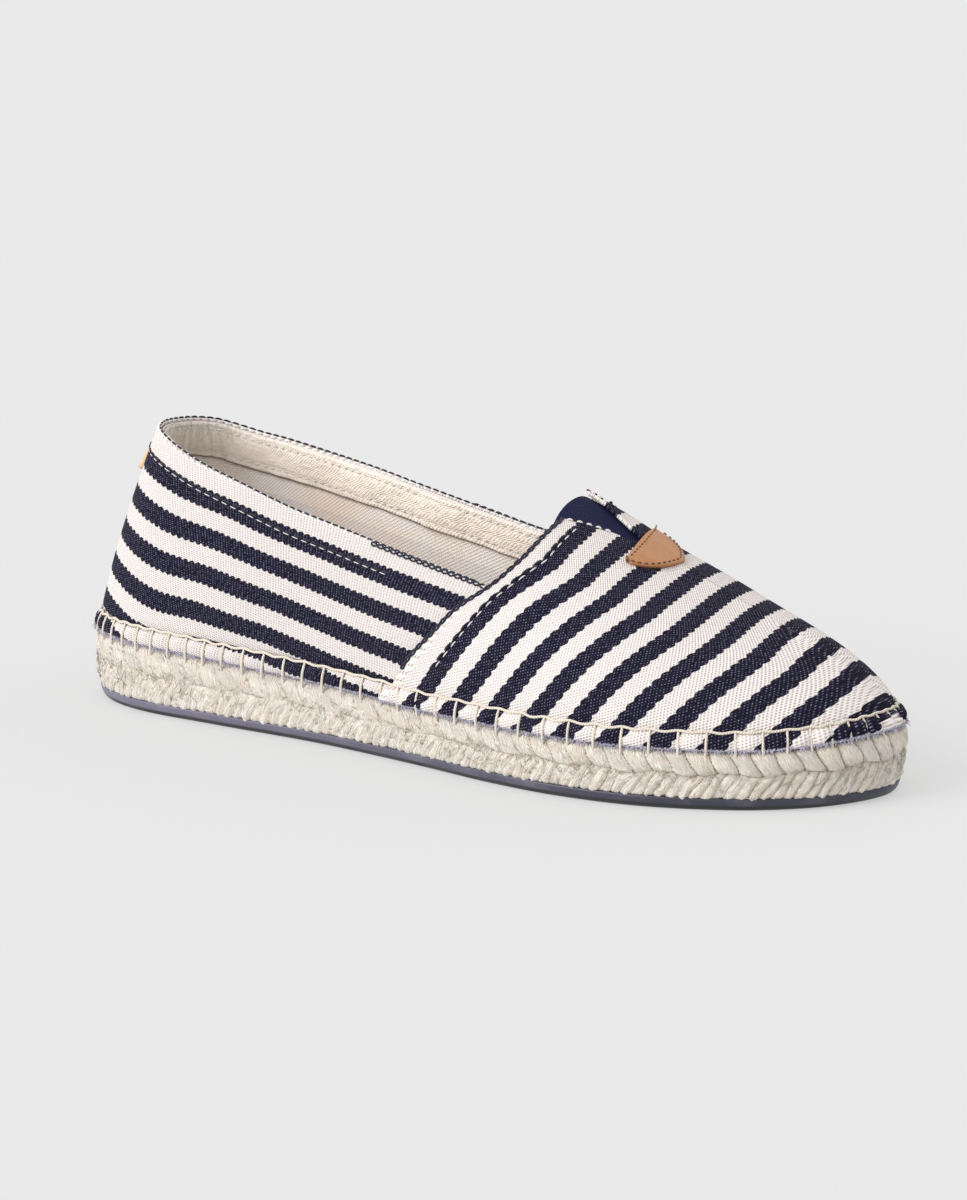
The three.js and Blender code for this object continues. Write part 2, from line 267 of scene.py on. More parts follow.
def use(tree, effect, inputs):
    """Places a node group in a material; returns its outputs."""
    node = tree.nodes.new("ShaderNodeGroup")
    node.node_tree = effect
    feed(tree, node, inputs)
    return node.outputs


def finish(title, **constants):
    """A new material; returns it, its tree and its Principled shader with constants set."""
    material = bpy.data.materials.new(title)
    material.use_nodes = True
    tree = material.node_tree
    shader = next(n for n in tree.nodes if n.type == "BSDF_PRINCIPLED")
    for name, value in constants.items():
        shader.inputs[name.replace("_", " ").title().replace("Ior", "IOR")].default_value = value
    return material, tree, shader


def relief(tree, shader, height, depth):
    """Bumps the shader by a height of 0 to 1 that stands for depth millimetres."""
    bump = wire(tree, "Bump", {"Height": height, "Distance": depth * MM, "Strength": 1.0})
    tree.links.new(bump.outputs[0], shader.inputs["Normal"])


def tread(plan, share):
    """Depth of the zigzag grooves under the sole: bars across the shoe, each swung forwards and back
    along its width. They stop short of the edge, which lies at share 1."""
    swing = ZIGZAG_HEIGHT * np.abs(((plan[:, 1] / ZIGZAG_WIDTH) % 2) - 1)
    from_bar = np.abs(((plan[:, 0] + swing) / GROOVE_PITCH) % 1 - 0.5)
    inside = np.clip((0.93 - share) / 0.05, 0, 1)
    return GROOVE_DEPTH * np.clip((from_bar - 0.32) / 0.1, 0, 1) * inside


RUBBER_STEPS = 24
u_rubber = np.arange(0, STATIONS, 1 / RUBBER_STEPS)
rings = []
for share in np.linspace(0, 1, 34)[:-1] ** 0.8:
    edge = outline(u_rubber, np.full(u_rubber.shape, FLAT_INSET))
    flat = middle_line(u_rubber, FLAT_INSET) * (1 - share) + edge * share
    rings.append(at_height(flat, sole_bottom(flat[:, 0]) + tread(flat, share)))
for inset, lift in ROUNDED_EDGE:
    flat = outline(u_rubber, np.full(u_rubber.shape, inset))
    rings.append(at_height(flat, sole_bottom(flat[:, 0]) + lift))
rings.append(ring(u_rubber, RUBBER_INSET, RUBBER_TOP - 0.12))
rings.append(ring(u_rubber, TOP_INSET, RUBBER_TOP))
rings.append(at_height(middle_line(u_rubber, TOP_INSET), RUBBER_TOP))

# Dust in soft patches, and a fine grain.
dust_effect, given, give = group("dust", ["Scale"], ["Dust", "Grain"])
place = wire(dust_effect, "TexCoord").outputs["Object"]
patches = cloud(dust_effect, place, given["Scale"], 4.0, 0.62)
give("Dust", ramp(dust_effect, patches, 0.42, 0.75))
give("Grain", cloud(dust_effect, place, 2600.0, 1.0))

rubber, tree, shader = finish("slate rubber", specular_ior_level=0.42)
dust = use(tree, dust_effect, {"Scale": 55.0})
# Painted reflection: the rubber is made lighter towards the heel and darker at the toe, standing for the
# light it reflects. A little of the lightening is dust.
heel_reflection_and_dust = ramp(tree, position(tree, 0), 0.10, -0.11)
colour = blend(tree, heel_reflection_and_dust, dye(56, 56, 70), dye(108, 104, 122))
colour = blend(tree, times(tree, dust["Dust"], 0.3), colour, dye(150, 146, 156))
# Painted shade: below about 2 mm the rubber turns near black, standing for the shadow where the sole meets
# the floor.
painted_contact_shade = ramp(tree, position(tree, 2), 0.0019, 0.0011)
colour = blend(tree, painted_contact_shade, colour, dye(30, 29, 36))
tree.links.new(colour, shader.inputs["Base Color"])
tree.links.new(ramp(tree, dust["Dust"], 0.0, 1.0, 0.40, 0.62), shader.inputs["Roughness"])
relief(tree, shader, dust["Grain"], 0.05)
add_piece("rubber_outsole", [slab(rings, u_rubber)], rubber, ("outsole",))

# ---- jute sole -----------------------------------------------------------------------------------
# Jute braid coiled into a thick sole. On its wall the braid shows as two rows of strands that lean
# towards each other and meet in a sunk seam; frayed ends hang over the rubber's edge.
UPPER_PITCH, LOWER_PITCH = 5.7, 3.1
UPPER_SLOPE, LOWER_SLOPE = -3.6, 4.4
SEAM_SHARE = 0.50
WALL_ROWS = 22
JUTE_BOTTOM = RUBBER_TOP + 0.3
BALL_HEIGHT, HEEL_RISE, TIP_RISE = 16, 3.4, 2.6
UNDER_INSET, LID_INSET = 3.2, 4.4
JUTE_STEPS = 64
u_jute = np.arange(0, STATIONS, 1 / JUTE_STEPS)


def sole_top(x):
    """Top of the jute: 16 mm at the ball, rising to 19.4 under the heel, turned up at the toe."""
    heel = np.clip((20 - x) / 140, 0, 1)
    tip = TIP_RISE * np.clip((x - 100) / 25, 0, 1) ** 2
    return BALL_HEIGHT + HEEL_RISE * heel * heel * (3 - 2 * heel) + tip


def smooth(value, low, high):
    """0 below low, 1 above high, and between them 3t^2 - 2t^3 of the share t of the way."""
    t = np.clip((value - low) / (high - low), 0, 1)
    return t * t * (3 - 2 * t)


def run_along(path):
    """Distance along a path of points, from its start."""
    return np.concatenate([[0], np.cumsum(np.linalg.norm(np.diff(path, axis=0), axis=1))])


# The sole's edge in fine steps, to read distances round it from.
fine_u = np.linspace(0, STATIONS, 8801)
fine_edge = outline(fine_u, np.full(fine_u.shape, 0.9))
fine_run = run_along(fine_edge)
GIRTH = fine_run[-1]


def run_at(u):
    """Distance round the sole's edge from the heel to station u, in millimetres."""
    return np.interp(np.asarray(u) % STATIONS, fine_u, fine_run)


def shade_of(index, seed):
    """A fixed random number between 0 and 1 for each whole number."""
    return np.abs(np.sin(index * 12.9898 + seed * 78.233) * 43758.5453) % 1


def strand_row(u, v, pitch, slope, wander):
    """A row of strands on the wall. v is 0 to 1 up the row; a strand's centre moves by slope
    millimetres over the row and wanders a little. Across a strand the relief is a rounded hump,
    (1 - |across|^2.4)^0.62, and it sinks at both ends of the row. Returns the relief of 0 to 1,
    the strand's shade, and the distance round the sole."""
    count = round(GIRTH / pitch)
    lane = run_at(u) / GIRTH * count - slope / pitch * v
    lane = lane + wander * np.sin(lane * 2.1 + 5 * v) / pitch
    index = np.floor(lane) % count
    across = (lane % 1) * 2 - 1
    body = (1 - np.abs(across) ** 2.4) ** 0.62
    ends = 0.35 + 0.65 * (1 - np.abs(2 * v - 1) ** 4) ** 0.5
    return body * ends, shade_of(index, 1), lane * pitch


def wall_inset(share):
    """Inset of the jute's wall against the share of its height: two soft rolls."""
    return np.interp(share, [0, 0.06, 0.14, 0.34, 0.52, 0.70, 0.90, 1.0],
                     [1.9, 1.45, 1.25, 0.95, 1.15, 0.95, 1.3, 2.6])


def jute_grid(shares, lower):
    """Part of the wall between two shares of its height, with its strands standing out by a
    different amount each. The lower row's ends hang in tufts over the rubber, and the seam between
    the rows swings up and down a little."""
    share = np.repeat(shares[:, None], len(u_jute), 1)
    u = np.repeat(u_jute[None], len(shares), 0)
    v = np.clip((share - shares[0]) / (shares[-1] - shares[0]), 0, 1)
    if lower:
        high, shade, lane = strand_row(u, v, LOWER_PITCH, LOWER_SLOPE, 0.25)
        amount = 0.5 + 0.5 * shade
    else:
        high, shade, lane = strand_row(u, v, UPPER_PITCH, UPPER_SLOPE, 0.3)
        amount = 0.8 + 0.5 * shade + 0.75 * smooth(outline(u, share * 0)[..., 0], 20, 100)
    inset = wall_inset(share) + 0.55 - amount * high
    flat = outline(u, inset)
    top = sole_top(flat[..., 0])
    strand = lane / LOWER_PITCH
    tuft = shade_of(np.floor(strand), 3) * (1 - np.abs(strand % 1 * 2 - 1))
    hanging = 0.1 + 0.5 * shade_of(np.floor(lane * 1.3), 4) + 0.9 * tuft
    bottom = JUTE_BOTTOM - (hanging * (1 - v) ** 2 if lower else 0)
    swing = 0.035 * np.sin(lane / 2.9) + 0.03 * (shade_of(np.floor(lane / UPPER_PITCH), 8) - 0.5)
    share = share + swing * np.sin(np.pi * share) ** 2
    points = np.concatenate([flat, (bottom + (top - bottom) * share)[..., None]], -1)
    length = (top - JUTE_BOTTOM) * share
    maps = {"strand": np.stack([length, lane], -1).reshape(-1, 2),
            "relief": np.stack([high, shade], -1).reshape(-1, 2)}
    return points, maps


def jute_part(points, maps):
    """Rings of points round the sole, closed on themselves."""
    return points.reshape(-1, 3), grid(len(points), len(u_jute), around=True), maps


def still(points):
    """Maps for a hidden part: no strands."""
    size = points[..., 0].size
    return {"strand": points[..., :2].reshape(-1, 2), "relief": np.full((size, 2), 0.2)}


def vector(tree, x, y, z=0.0):
    """A vector from its three values."""
    return wire(tree, "CombineXYZ", {0: x, 1: y, 2: z}).outputs[0]


def uv(tree, title):
    """The two values of one of the piece's own maps."""
    parts = wire(tree, "SeparateXYZ", {0: wire(tree, "UVMap", uv_map=title).outputs[0]})
    return parts.outputs[0], parts.outputs[1]


low_wall, low_maps = jute_grid(np.linspace(0, SEAM_SHARE, WALL_ROWS), True)
top_wall, top_maps = jute_grid(np.linspace(SEAM_SHARE, 1, WALL_ROWS), False)
seam_ring = 0.5 * (low_wall[-1] + top_wall[0])
low_wall[-1] = seam_ring
top_wall[0] = seam_ring
under = np.stack([at_height(middle_line(u_jute, 9.0), JUTE_BOTTOM),
                  ring(u_jute, UNDER_INSET, JUTE_BOTTOM), low_wall[0]])
lid = [top_wall[-1]]
for plan in (outline(u_jute, np.full(u_jute.shape, LID_INSET)), middle_line(u_jute, LID_INSET)):
    lid.append(at_height(plan, sole_top(plan[:, 0]) - 0.1))
lid = np.stack(lid)

# Fibres that run along each strand: streaks of light and dark fibre, finer fuzz, and the gaps between
# fibres, where shade is painted in.
fibre_effect, given, give = group("jute fibre", ["Along", "Across"], ["Streak", "Fuzz", "Gap"])
lines = vector(fibre_effect, times(fibre_effect, given["Along"], 0.33),
               times(fibre_effect, given["Across"], 2.9))
streak = cloud(fibre_effect, lines, 1.0, 3.0, 0.6)
lines = vector(fibre_effect, times(fibre_effect, given["Along"], 0.5),
               times(fibre_effect, given["Across"], 5.5), 3.0)
give("Streak", ramp(fibre_effect, streak, 0.3, 0.7))
give("Fuzz", cloud(fibre_effect, lines, 1.0, 2.0, 0.6))
give("Gap", ramp(fibre_effect, streak, 0.40, 0.27))

jute, tree, shader = finish("natural jute", roughness=0.92, specular_ior_level=0.18)
length, lane = uv(tree, "strand")
high, shade = uv(tree, "relief")
forwards = position(tree, 0)
fibre = use(tree, fibre_effect, {"Along": length, "Across": lane})
colour = blend(tree, fibre["Streak"], dye(246, 230, 212), dye(255, 254, 248))
colour = blend(tree, times(tree, shade, 0.2), colour, dye(240, 218, 192))
# Painted shade: brown in the low places between the strands, stronger towards the toe.
painted_hollow_shade = times(tree, ramp(tree, high, 0.42, 0.02), ramp(tree, forwards, -0.02, 0.09, 0.2, 1.0))
colour = blend(tree, painted_hollow_shade, colour, dye(158, 120, 84))
# Painted shade in the gaps between fibres, stronger towards the toe.
gap = times(tree, fibre["Gap"], ramp(tree, forwards, -0.04, 0.08, 0.2, 0.8))
colour = blend(tree, gap, colour, dye(186, 150, 112))
tree.links.new(colour, shader.inputs["Base Color"])
height = calc(tree, "ADD", times(tree, fibre["Streak"], 0.6), times(tree, fibre["Fuzz"], 0.4))
relief(tree, shader, height, 0.75)
add_piece("jute_braid", [jute_part(under, still(under)), jute_part(low_wall, low_maps),
                         jute_part(top_wall, top_maps), jute_part(lid, still(lid))],
          jute, ("jute_sole",))

# ---- insole --------------------------------------------------------------------------------------
# A plain cotton-covered sock that lies on the jute inside the upper, two millimetres thick and
# slightly dished, with a rounded edge.
INSOLE_LIFT, INSOLE_THICK, INSOLE_DISH = 0.3, 2.0, 0.5
INSOLE_INSET, ROUNDED_INSET = 4.1, 4.6
WHOLE_TURN = 6.2832
INSOLE_STEPS = 12
u_sock = np.arange(0, STATIONS, 1 / INSOLE_STEPS)


def sock_ring(share, inset, lift):
    """A ring of the insole, lifted off the jute: share 0 on the middle line, 1 at the inset."""
    edge = outline(u_sock, np.full(u_sock.shape, inset))
    flat = middle_line(u_sock, INSOLE_INSET) * (1 - share) + edge * share
    return at_height(flat, sole_top(flat[:, 0]) + INSOLE_LIFT + lift)


rings = [sock_ring(0, ROUNDED_INSET, 0), sock_ring(1, ROUNDED_INSET, 0)]
rings += [sock_ring(1, INSOLE_INSET, 0.5), sock_ring(1, INSOLE_INSET, 1.4)]
rings += [sock_ring(share, ROUNDED_INSET, INSOLE_THICK - INSOLE_DISH * (1 - share * share))
          for share in (1, 0.9, 0.7, 0.4, 0)]

def wave(tree, value, pitch):
    """The sine of a value, one whole turn each pitch."""
    return calc(tree, "SINE", times(tree, value, WHOLE_TURN / pitch))


# Yarns that cross: where one lies on top the other dips. Used by the insole, lining and tape.
weave_effect, given, give = group("plain weave", ["Along", "Across", "Yarn"], ["Height", "Tone"])
warp, weft = (wave(weave_effect, calc(weave_effect, "DIVIDE", given[way], given["Yarn"]), 1.0)
              for way in ("Along", "Across"))
crossing = times(weave_effect, warp, weft)
give("Height", calc(weave_effect, "MULTIPLY_ADD", crossing, 0.5, 0.5))
give("Tone", cloud(weave_effect, vector(weave_effect, given["Along"], given["Across"]), 0.9, 3.0, 0.7))

sock, tree, shader = finish("insole cotton", roughness=0.9, sheen_weight=0.15)
x, y = uv(tree, "plan")
weave = use(tree, weave_effect, {"Along": x, "Across": y, "Yarn": 0.9})
colour = blend(tree, weave["Tone"], dye(232, 220, 202), dye(214, 200, 180))
tree.links.new(colour, shader.inputs["Base Color"])
relief(tree, shader, weave["Height"], 0.2)
add_piece("insole_sock", [slab(rings, u_sock)], sock, ("insole",))

# ---- heel piece of the upper ---------------------------------------------------------------------
# One band of striped cotton canvas that runs round the heel from under the vamp on one side to under
# it on the other. Its stripes follow the collar; its foot is blanket-stitched to the jute.
CLOTH_INSET = 1.5
CANVAS = 1.0
CORD_HEIGHT = 5.0
HEEL_ENDS = 6.15
UNDER_VAMP = 0.42
HEEL_ROWS, HEEL_COLUMNS = 82, 420
STRIPE_PITCH = 10.7
TOOTH, WEFT_PITCH = 2.4, 1.0
BACK_PITCH = 10.6
FIRST_STRIPE = 8.95
# Distances below the collar along the sides, and the count of navy bars there.
BARS_BELOW = [-20, 6.85, 15.2, 24.05, 32.95, 41.5, 90]
BARS_COUNTED = [-2, 1, 2, 3, 4, 5, 10.5]
# Heights of the shoe's top line every 20 mm, from 130 mm behind the middle.
RIDGE_START, RIDGE_STEP = -130, 20
RIDGE = np.array([129, 126, 122, 113, 102, 90.5, 81.5, 74, 67, 57.2, 49.4, 42.3, 35, 27.5])
# The collar: place along the shoe, height on the outer side, height on the inner side.
COLLAR = np.array([(-126, 77.4, 77.4), (-112, 77.4, 77.0), (-102, 77.4, 75.8), (-96, 76.2, 73.6),
                   (-90, 74.2, 72.0), (-80, 70.8, 70.6), (-64, 66.6, 68.1), (-48, 62.3, 65.7),
                   (-31, 58.9, 62.3), (-13, 55.7, 58.1), (4, 53.0, 53.9), (21.4, 50.5, 50.6), (60, 43, 43)])


def through(x, knots, values):
    """A smooth line through knots: cubic pieces whose slopes are the knots' mean slopes."""
    slopes = np.gradient(values, knots)
    x = np.clip(x, knots[0], knots[-1])
    k = np.clip(np.searchsorted(knots, x, side="right") - 1, 0, len(knots) - 2)
    gap = knots[k + 1] - knots[k]
    t = (x - knots[k]) / gap
    return ((2 * t ** 3 - 3 * t ** 2 + 1) * values[k] + (t ** 3 - 2 * t * t + t) * gap * slopes[k]
            + (3 * t * t - 2 * t ** 3) * values[k + 1] + (t ** 3 - t * t) * gap * slopes[k + 1])


def ridge(x):
    """Height of the shoe's top line."""
    place = np.clip((x - RIDGE_START) / RIDGE_STEP, 0, len(RIDGE) - 1.001)
    k = np.floor(place).astype(int)
    a, b, c, d = (RIDGE[np.clip(k + j, 0, len(RIDGE) - 1)] for j in (-1, 0, 1, 2))
    return bend(a, b, c, d, place - k)


def last(u, climb):
    """The outside of the upper. At station u the edge point leans in to the top line by the cosine
    of climb's quarter turn to the power lean, and rises by the sine to the power rise."""
    u, climb = np.broadcast_arrays(np.asarray(u, float), np.asarray(climb, float))
    edge = outline(u, np.full(u.shape, CLOTH_INSET))
    row = round_table(ROUND_THE_FOOT, u)
    angle = np.clip(climb, 0, 1) * np.pi / 2
    out = np.where(climb >= 1, 0, np.cos(angle)) ** row[..., 4]
    up = np.sin(angle) ** row[..., 5]
    x = row[..., 2] + (edge[..., 0] - row[..., 2]) * out
    y = row[..., 3] + (edge[..., 1] - row[..., 3]) * out
    foot = sole_top(edge[..., 0])
    return np.stack([x, y, foot + (ridge(x) - foot) * up], -1)


def outward(u, climb):
    """Unit normal of the last, out of the shoe: round it times up it."""
    c = np.clip(climb, 0.004, 0.992)
    round_it = last(u + 0.01, c) - last(u - 0.01, c)
    up_it = last(u, c + 0.004) - last(u, c - 0.004)
    normal = np.cross(round_it, up_it)
    return normal / np.linalg.norm(normal, axis=-1, keepdims=True)


# The blanket stitches lie closer together round the heel and the toe.
stitch_pitch = np.interp(fine_edge[:, 0], [-126, -95, -60, 0, 60, 100, 118, 126],
                         [5.4, 5.7, 7.0, 7.2, 7.8, 7.4, 5.8, 5.2])
turns = np.concatenate([[0], np.cumsum(np.diff(fine_run) / stitch_pitch[1:])])
STITCHES = round(turns[-1])
fine_phase = turns * STITCHES / turns[-1]


def stitch_phase(u):
    """Counts the blanket stitches round the foot: a whole number at each stitch."""
    return np.interp(np.asarray(u) % STATIONS, fine_u, fine_phase)


def canvas(u, climb, lift):
    """The canvas on the last, lifted off it. Below the cord it puffs out between the stitches, at the
    cord it is pulled in, and above it lies in a few long soft waves."""
    point = last(u, climb)
    normal = outward(u, climb)
    above = point[..., 2] - sole_top(point[..., 0])
    pillow = np.abs(np.sin(np.pi * stitch_phase(u))) ** 0.55
    band = np.sin(np.pi * np.clip(above / CORD_HEIGHT, 0, 1) ** 0.75)
    puff = (0.2 + 1.45 * pillow * band) * (1 - smooth(above, CORD_HEIGHT - 0.9, CORD_HEIGHT + 0.3))
    pulled = -0.45 * np.exp(-((above - CORD_HEIGHT) / 1.1) ** 2)
    dimple = -0.25 * (1 - pillow) * np.exp(-((above - CORD_HEIGHT) / 3.2) ** 2)
    x, z = point[..., 0], point[..., 2]
    waves = 0.28 * np.sin(x / 11 + z / 19 + 0.6)
    waves = waves + 0.10 * np.sin(x / 7.3 - z / 9 + 2) * np.sin(z / 13 + x / 40)
    waves = waves * smooth(above, CORD_HEIGHT, CORD_HEIGHT + 8) * (1 - 0.7 * smooth(x, 78, 100))
    return point + normal * (lift + puff + pulled + dimple + waves)[..., None]


def collar_at(point):
    """Collar height over a point: outer and inner side differ and blend round the heel."""
    side = smooth(point[..., 1], -12, 12)
    outer = through(point[..., 0], COLLAR[:, 0], COLLAR[:, 1])
    inner = through(point[..., 0], COLLAR[:, 0], COLLAR[:, 2])
    return outer + (inner - outer) * side


def solve(low, high, too_far):
    """Halves the span between low and high 30 times; too_far(place) is true past the answer."""
    for _ in range(30):
        half = 0.5 * (low + high)
        far = too_far(half)
        low, high = np.where(far, low, half), np.where(far, half, high)
    return 0.5 * (low + high)


def collar_climb(u):
    """How far up the last the collar lies at station u."""
    def past(climb):
        point = last(u, climb)
        return point[..., 2] > collar_at(point)
    return solve(np.zeros(u.shape), np.full(u.shape, 0.995), past)


def even_climbs(u, low, high, count):
    """Climbs that split the girth from low to high at each u in equal parts, and those distances."""
    steps = np.linspace(0, 1, 160)
    line = last(u[:, None], low[:, None] + (high - low)[:, None] * steps)
    arc = np.cumsum(np.linalg.norm(np.diff(line, axis=1), axis=-1), 1)
    arc = np.concatenate([np.zeros((len(u), 1)), arc], 1)
    want = np.linspace(0, 1, count) * arc[:, -1:]
    k = np.clip((arc[:, None] <= want[..., None]).sum(-1) - 1, 0, 158)
    a = np.take_along_axis(arc, k, 1)
    b = np.take_along_axis(arc, k + 1, 1)
    share = (k + (want - a) / (b - a)) / 159
    return low[:, None] + (high - low)[:, None] * share, want


# Plan of the V at the throat: its two rear corners and its tip.
THROAT_OUTER, THROAT_INNER = np.array([28.9, -6.2]), np.array([24.3, 14.2])
THROAT_TIP = np.array([49.8, 8.0])
# The vamp's rear edge: heights, and how far forward it lies at each.
REAR_Z = np.array([8, 16, 22.2, 29.7, 36, 43.8, 48.8, 53.6, 58, 62.5, 72, 84])
REAR_X = np.array([-16, -9.5, -3.8, 1.6, 7.7, 15, 21.4, 25.7, 28.6, 29.6, 29.2, 29])
VAMP_TURN = 0.18


def on_side(u, outer):
    """Station of a place on the outer side, or of its twin on the inner side."""
    return u if outer else STATIONS - u


def vamp_start(climb, outer):
    """Stations where the vamp's rear edge and the V's line lie at a climb; the vamp begins at the
    further one. On the inner side the rear edge lies further back, the more so near the top."""
    corner = THROAT_OUTER if outer else THROAT_INNER
    run = THROAT_TIP - corner

    def past_rear(u):
        point = last(on_side(u, outer), climb)
        turn = VAMP_TURN * np.maximum(point[..., 1], 0) + 3.4 * smooth(point[..., 2], 48, 60)
        rear_edge = through(point[..., 2], REAR_Z, REAR_X) - (0 if outer else turn)
        return point[..., 0] > rear_edge

    def past_throat(u):
        point = last(on_side(u, outer), climb)
        side = run[0] * (point[..., 1] - corner[1]) - run[1] * (point[..., 0] - corner[0])
        return side < 0 if outer else side > 0
    low, high = np.full(climb.shape, 3.0), np.full(climb.shape, 8.0)
    rear = solve(low, high, past_rear)
    throat = solve(low, high, past_throat)
    return rear, throat


u_heel = np.linspace(-HEEL_ENDS, HEEL_ENDS, HEEL_COLUMNS)
heel_top = collar_climb(u_heel)
heel_climb, heel_arc = even_climbs(u_heel, np.zeros(u_heel.shape), heel_top, HEEL_ROWS)
heel_u = np.repeat(u_heel[:, None], HEEL_ROWS, 1)
heel_end = np.where(heel_u > 0, vamp_start(heel_climb, True)[0], vamp_start(heel_climb, False)[0])
heel_u = heel_u * (heel_end + UNDER_VAMP) / HEEL_ENDS
column = np.clip((heel_u + HEEL_ENDS) / (2 * HEEL_ENDS) * (len(u_heel) - 1), 0, len(u_heel) - 1.001)
low_column = np.floor(column).astype(int)
share = column - low_column
row = np.arange(HEEL_ROWS)[None]
heel_climb = heel_climb[low_column, row] * (1 - share) + heel_climb[low_column + 1, row] * share
heel_arc = heel_arc[low_column, row] * (1 - share) + heel_arc[low_column + 1, row] * share
below_collar = heel_arc[:, -1:] - heel_arc
heel_points = canvas(heel_u, heel_climb, 0.0)
heel_run = np.repeat(run_along(heel_points[:, -1])[:, None], HEEL_ROWS, 1)
over_edge = heel_points[..., 2] - sole_top(heel_points[..., 0])
# Navy bars counted down from the collar; below the cord the turned-under cloth shifts them by half.
side_bars = np.interp(below_collar, BARS_BELOW, BARS_COUNTED)
back_bars = (below_collar - FIRST_STRIPE) / BACK_PITCH + 1
heel_number = back_bars + (side_bars - back_bars) * smooth(heel_points[..., 0], -105, -50)
heel_number = heel_number + 0.5 * (1 - smooth(over_edge, CORD_HEIGHT - 0.4, CORD_HEIGHT + 0.2))
heel_maps = {"cloth": np.stack([heel_run, heel_number * STRIPE_PITCH], -1),
             "edge": np.stack([heel_run, over_edge], -1),
             "count": np.stack([heel_number, heel_number], -1)}


def cloth_part(points, maps):
    """A sheet whose columns run round the foot and whose rows climb it."""
    turned = {name: np.swapaxes(m, 0, 1).reshape(-1, 2) for name, m in maps.items()}
    rows, columns = points.shape[1], points.shape[0]
    return np.swapaxes(points, 0, 1).reshape(-1, 3), grid(rows, columns), turned


def off_middle(tree, value):
    """How far a value's fraction lies from one half."""
    return calc(tree, "ABSOLUTE", calc(tree, "SUBTRACT", calc(tree, "FRACT", value), 0.5))


# Navy and ecru bars woven across the cloth, with toothed edges where the weft turns. The navy bars
# are ribbed, the ecru ones a finer basket weave, and thick places in the yarn show in both.
tree, given, give = group("woven stripes", ["Along", "Across", "Pitch"],
                          ["Navy", "Height", "Speck", "Tone"])
stripe_effect = tree
along, across = given["Along"], given["Across"]
bar = calc(tree, "DIVIDE", across, given["Pitch"])
off_centre = times(tree, off_middle(tree, calc(tree, "ADD", bar, 0.5)), given["Pitch"])
teeth = calc(tree, "ABSOLUTE", wave(tree, along, 2 * TOOTH))
wander = cloud(tree, vector(tree, times(tree, along, 0.35), times(tree, across, 0.16)), 1.0, 2.0)
half = calc(tree, "ADD", calc(tree, "MULTIPLY_ADD", teeth, 0.62, 2.02), times(tree, wander, 0.6))
navy = ramp(tree, calc(tree, "SUBTRACT", half, off_centre), -0.10, 0.10)
rib = wave(tree, along, TOOTH)
weft = wave(tree, across, WEFT_PITCH)
stepped = calc(tree, "ADD", along, times(tree, across, 0.5))
basket = times(tree, wave(tree, stepped, 1.05), weft)
slub = cloud(tree, vector(tree, times(tree, along, 0.7), times(tree, across, 1.3)), 1.0, 3.0, 0.65)
ecru_height = calc(tree, "MULTIPLY_ADD", basket, 0.38, 0.5)
ribbed = calc(tree, "ADD", times(tree, rib, 0.9), times(tree, times(tree, rib, weft), 0.7))
navy_height = calc(tree, "MULTIPLY_ADD", ribbed, 0.4, 0.55)
mixed = calc(tree, "ADD", times(tree, navy_height, navy),
             times(tree, ecru_height, calc(tree, "SUBTRACT", 1.0, navy)))
give("Navy", navy)
give("Height", calc(tree, "ADD", mixed, times(tree, slub, 0.3)))
give("Speck", times(tree, ramp(tree, basket, 0.45, 0.9), ramp(tree, slub, 0.38, 0.6)))
give("Tone", slub)


# The canvas has no navy above the first counted bar, and turns lavender at its raw lower edge.
striped, tree, shader = finish("striped canvas", roughness=0.92, specular_ior_level=0.1)
along, across = uv(tree, "cloth")
cloth = use(tree, stripe_effect, {"Along": along, "Across": across, "Pitch": STRIPE_PITCH})
ecru = blend(tree, cloth["Tone"], dye(238, 229, 225), dye(250, 246, 243))
# Painted shade: the ecru turns darker where the weave lies low, in the grooves between its yarns.
grooves = ramp(tree, cloth["Height"], 0.66, 0.28)
ecru = blend(tree, times(tree, grooves, 0.9), ecru, dye(188, 169, 159))
navy = blend(tree, cloth["Tone"], dye(19, 17, 30), dye(34, 32, 50))
navy = blend(tree, times(tree, cloth["Speck"], 0.8), navy, dye(150, 148, 178))
counted = ramp(tree, uv(tree, "count")[0], 0.46, 0.54)
colour = blend(tree, times(tree, cloth["Navy"], counted), ecru, navy)
run, over = uv(tree, "edge")
rough = cloud(tree, vector(tree, times(tree, run, 1.6), over), 1.0, 2.0)
raw = ramp(tree, calc(tree, "SUBTRACT", over, times(tree, rough, 1.4)), 0.25, -0.35)
lavender = blend(tree, ramp(tree, rough, 0.45, 0.6), dye(176, 176, 214), dye(226, 222, 232))
colour = blend(tree, raw, colour, lavender)
tree.links.new(colour, shader.inputs["Base Color"])
relief(tree, shader, cloth["Height"], 0.5)
add_piece("heel_canvas", [cloth_part(heel_points, heel_maps)], striped, ("upper",), CANVAS)

# ---- vamp ----------------------------------------------------------------------------------------
# The front of the upper, cut from the same cloth with the stripes across the foot. It overlaps the
# heel piece with its woven edge, and has a V cut out at the throat for the elastic.
VAMP_ROWS, VAMP_COLUMNS = 92, 170
TOE_STATION = 11
STATION_LENGTH = 27
TABLE_START, TABLE_STATIONS, TABLE_CLIMBS = 3, 240, 200
# Place of the first navy stripe on the top line and where it meets the sole on either side, then
# the pitch of the stripes on the top line and along the sole.
FIRST_TOP, FIRST_OUTER, FIRST_INNER = 36.4, 3.4, 1.0
TOP_PITCH, FOOT_PITCH = 9.86, 12.95


def girth_table(outer):
    """Distance from the feather edge and the whole girth, on a table of stations and climbs."""
    u = np.linspace(TABLE_START, TOE_STATION, TABLE_STATIONS + 1)
    c = np.linspace(0, 1, TABLE_CLIMBS + 1)
    line = last(on_side(u, outer)[:, None], c[None])
    arc = np.cumsum(np.linalg.norm(np.diff(line, axis=1), axis=-1), 1)
    return np.concatenate([np.zeros((len(u), 1)), arc], 1)


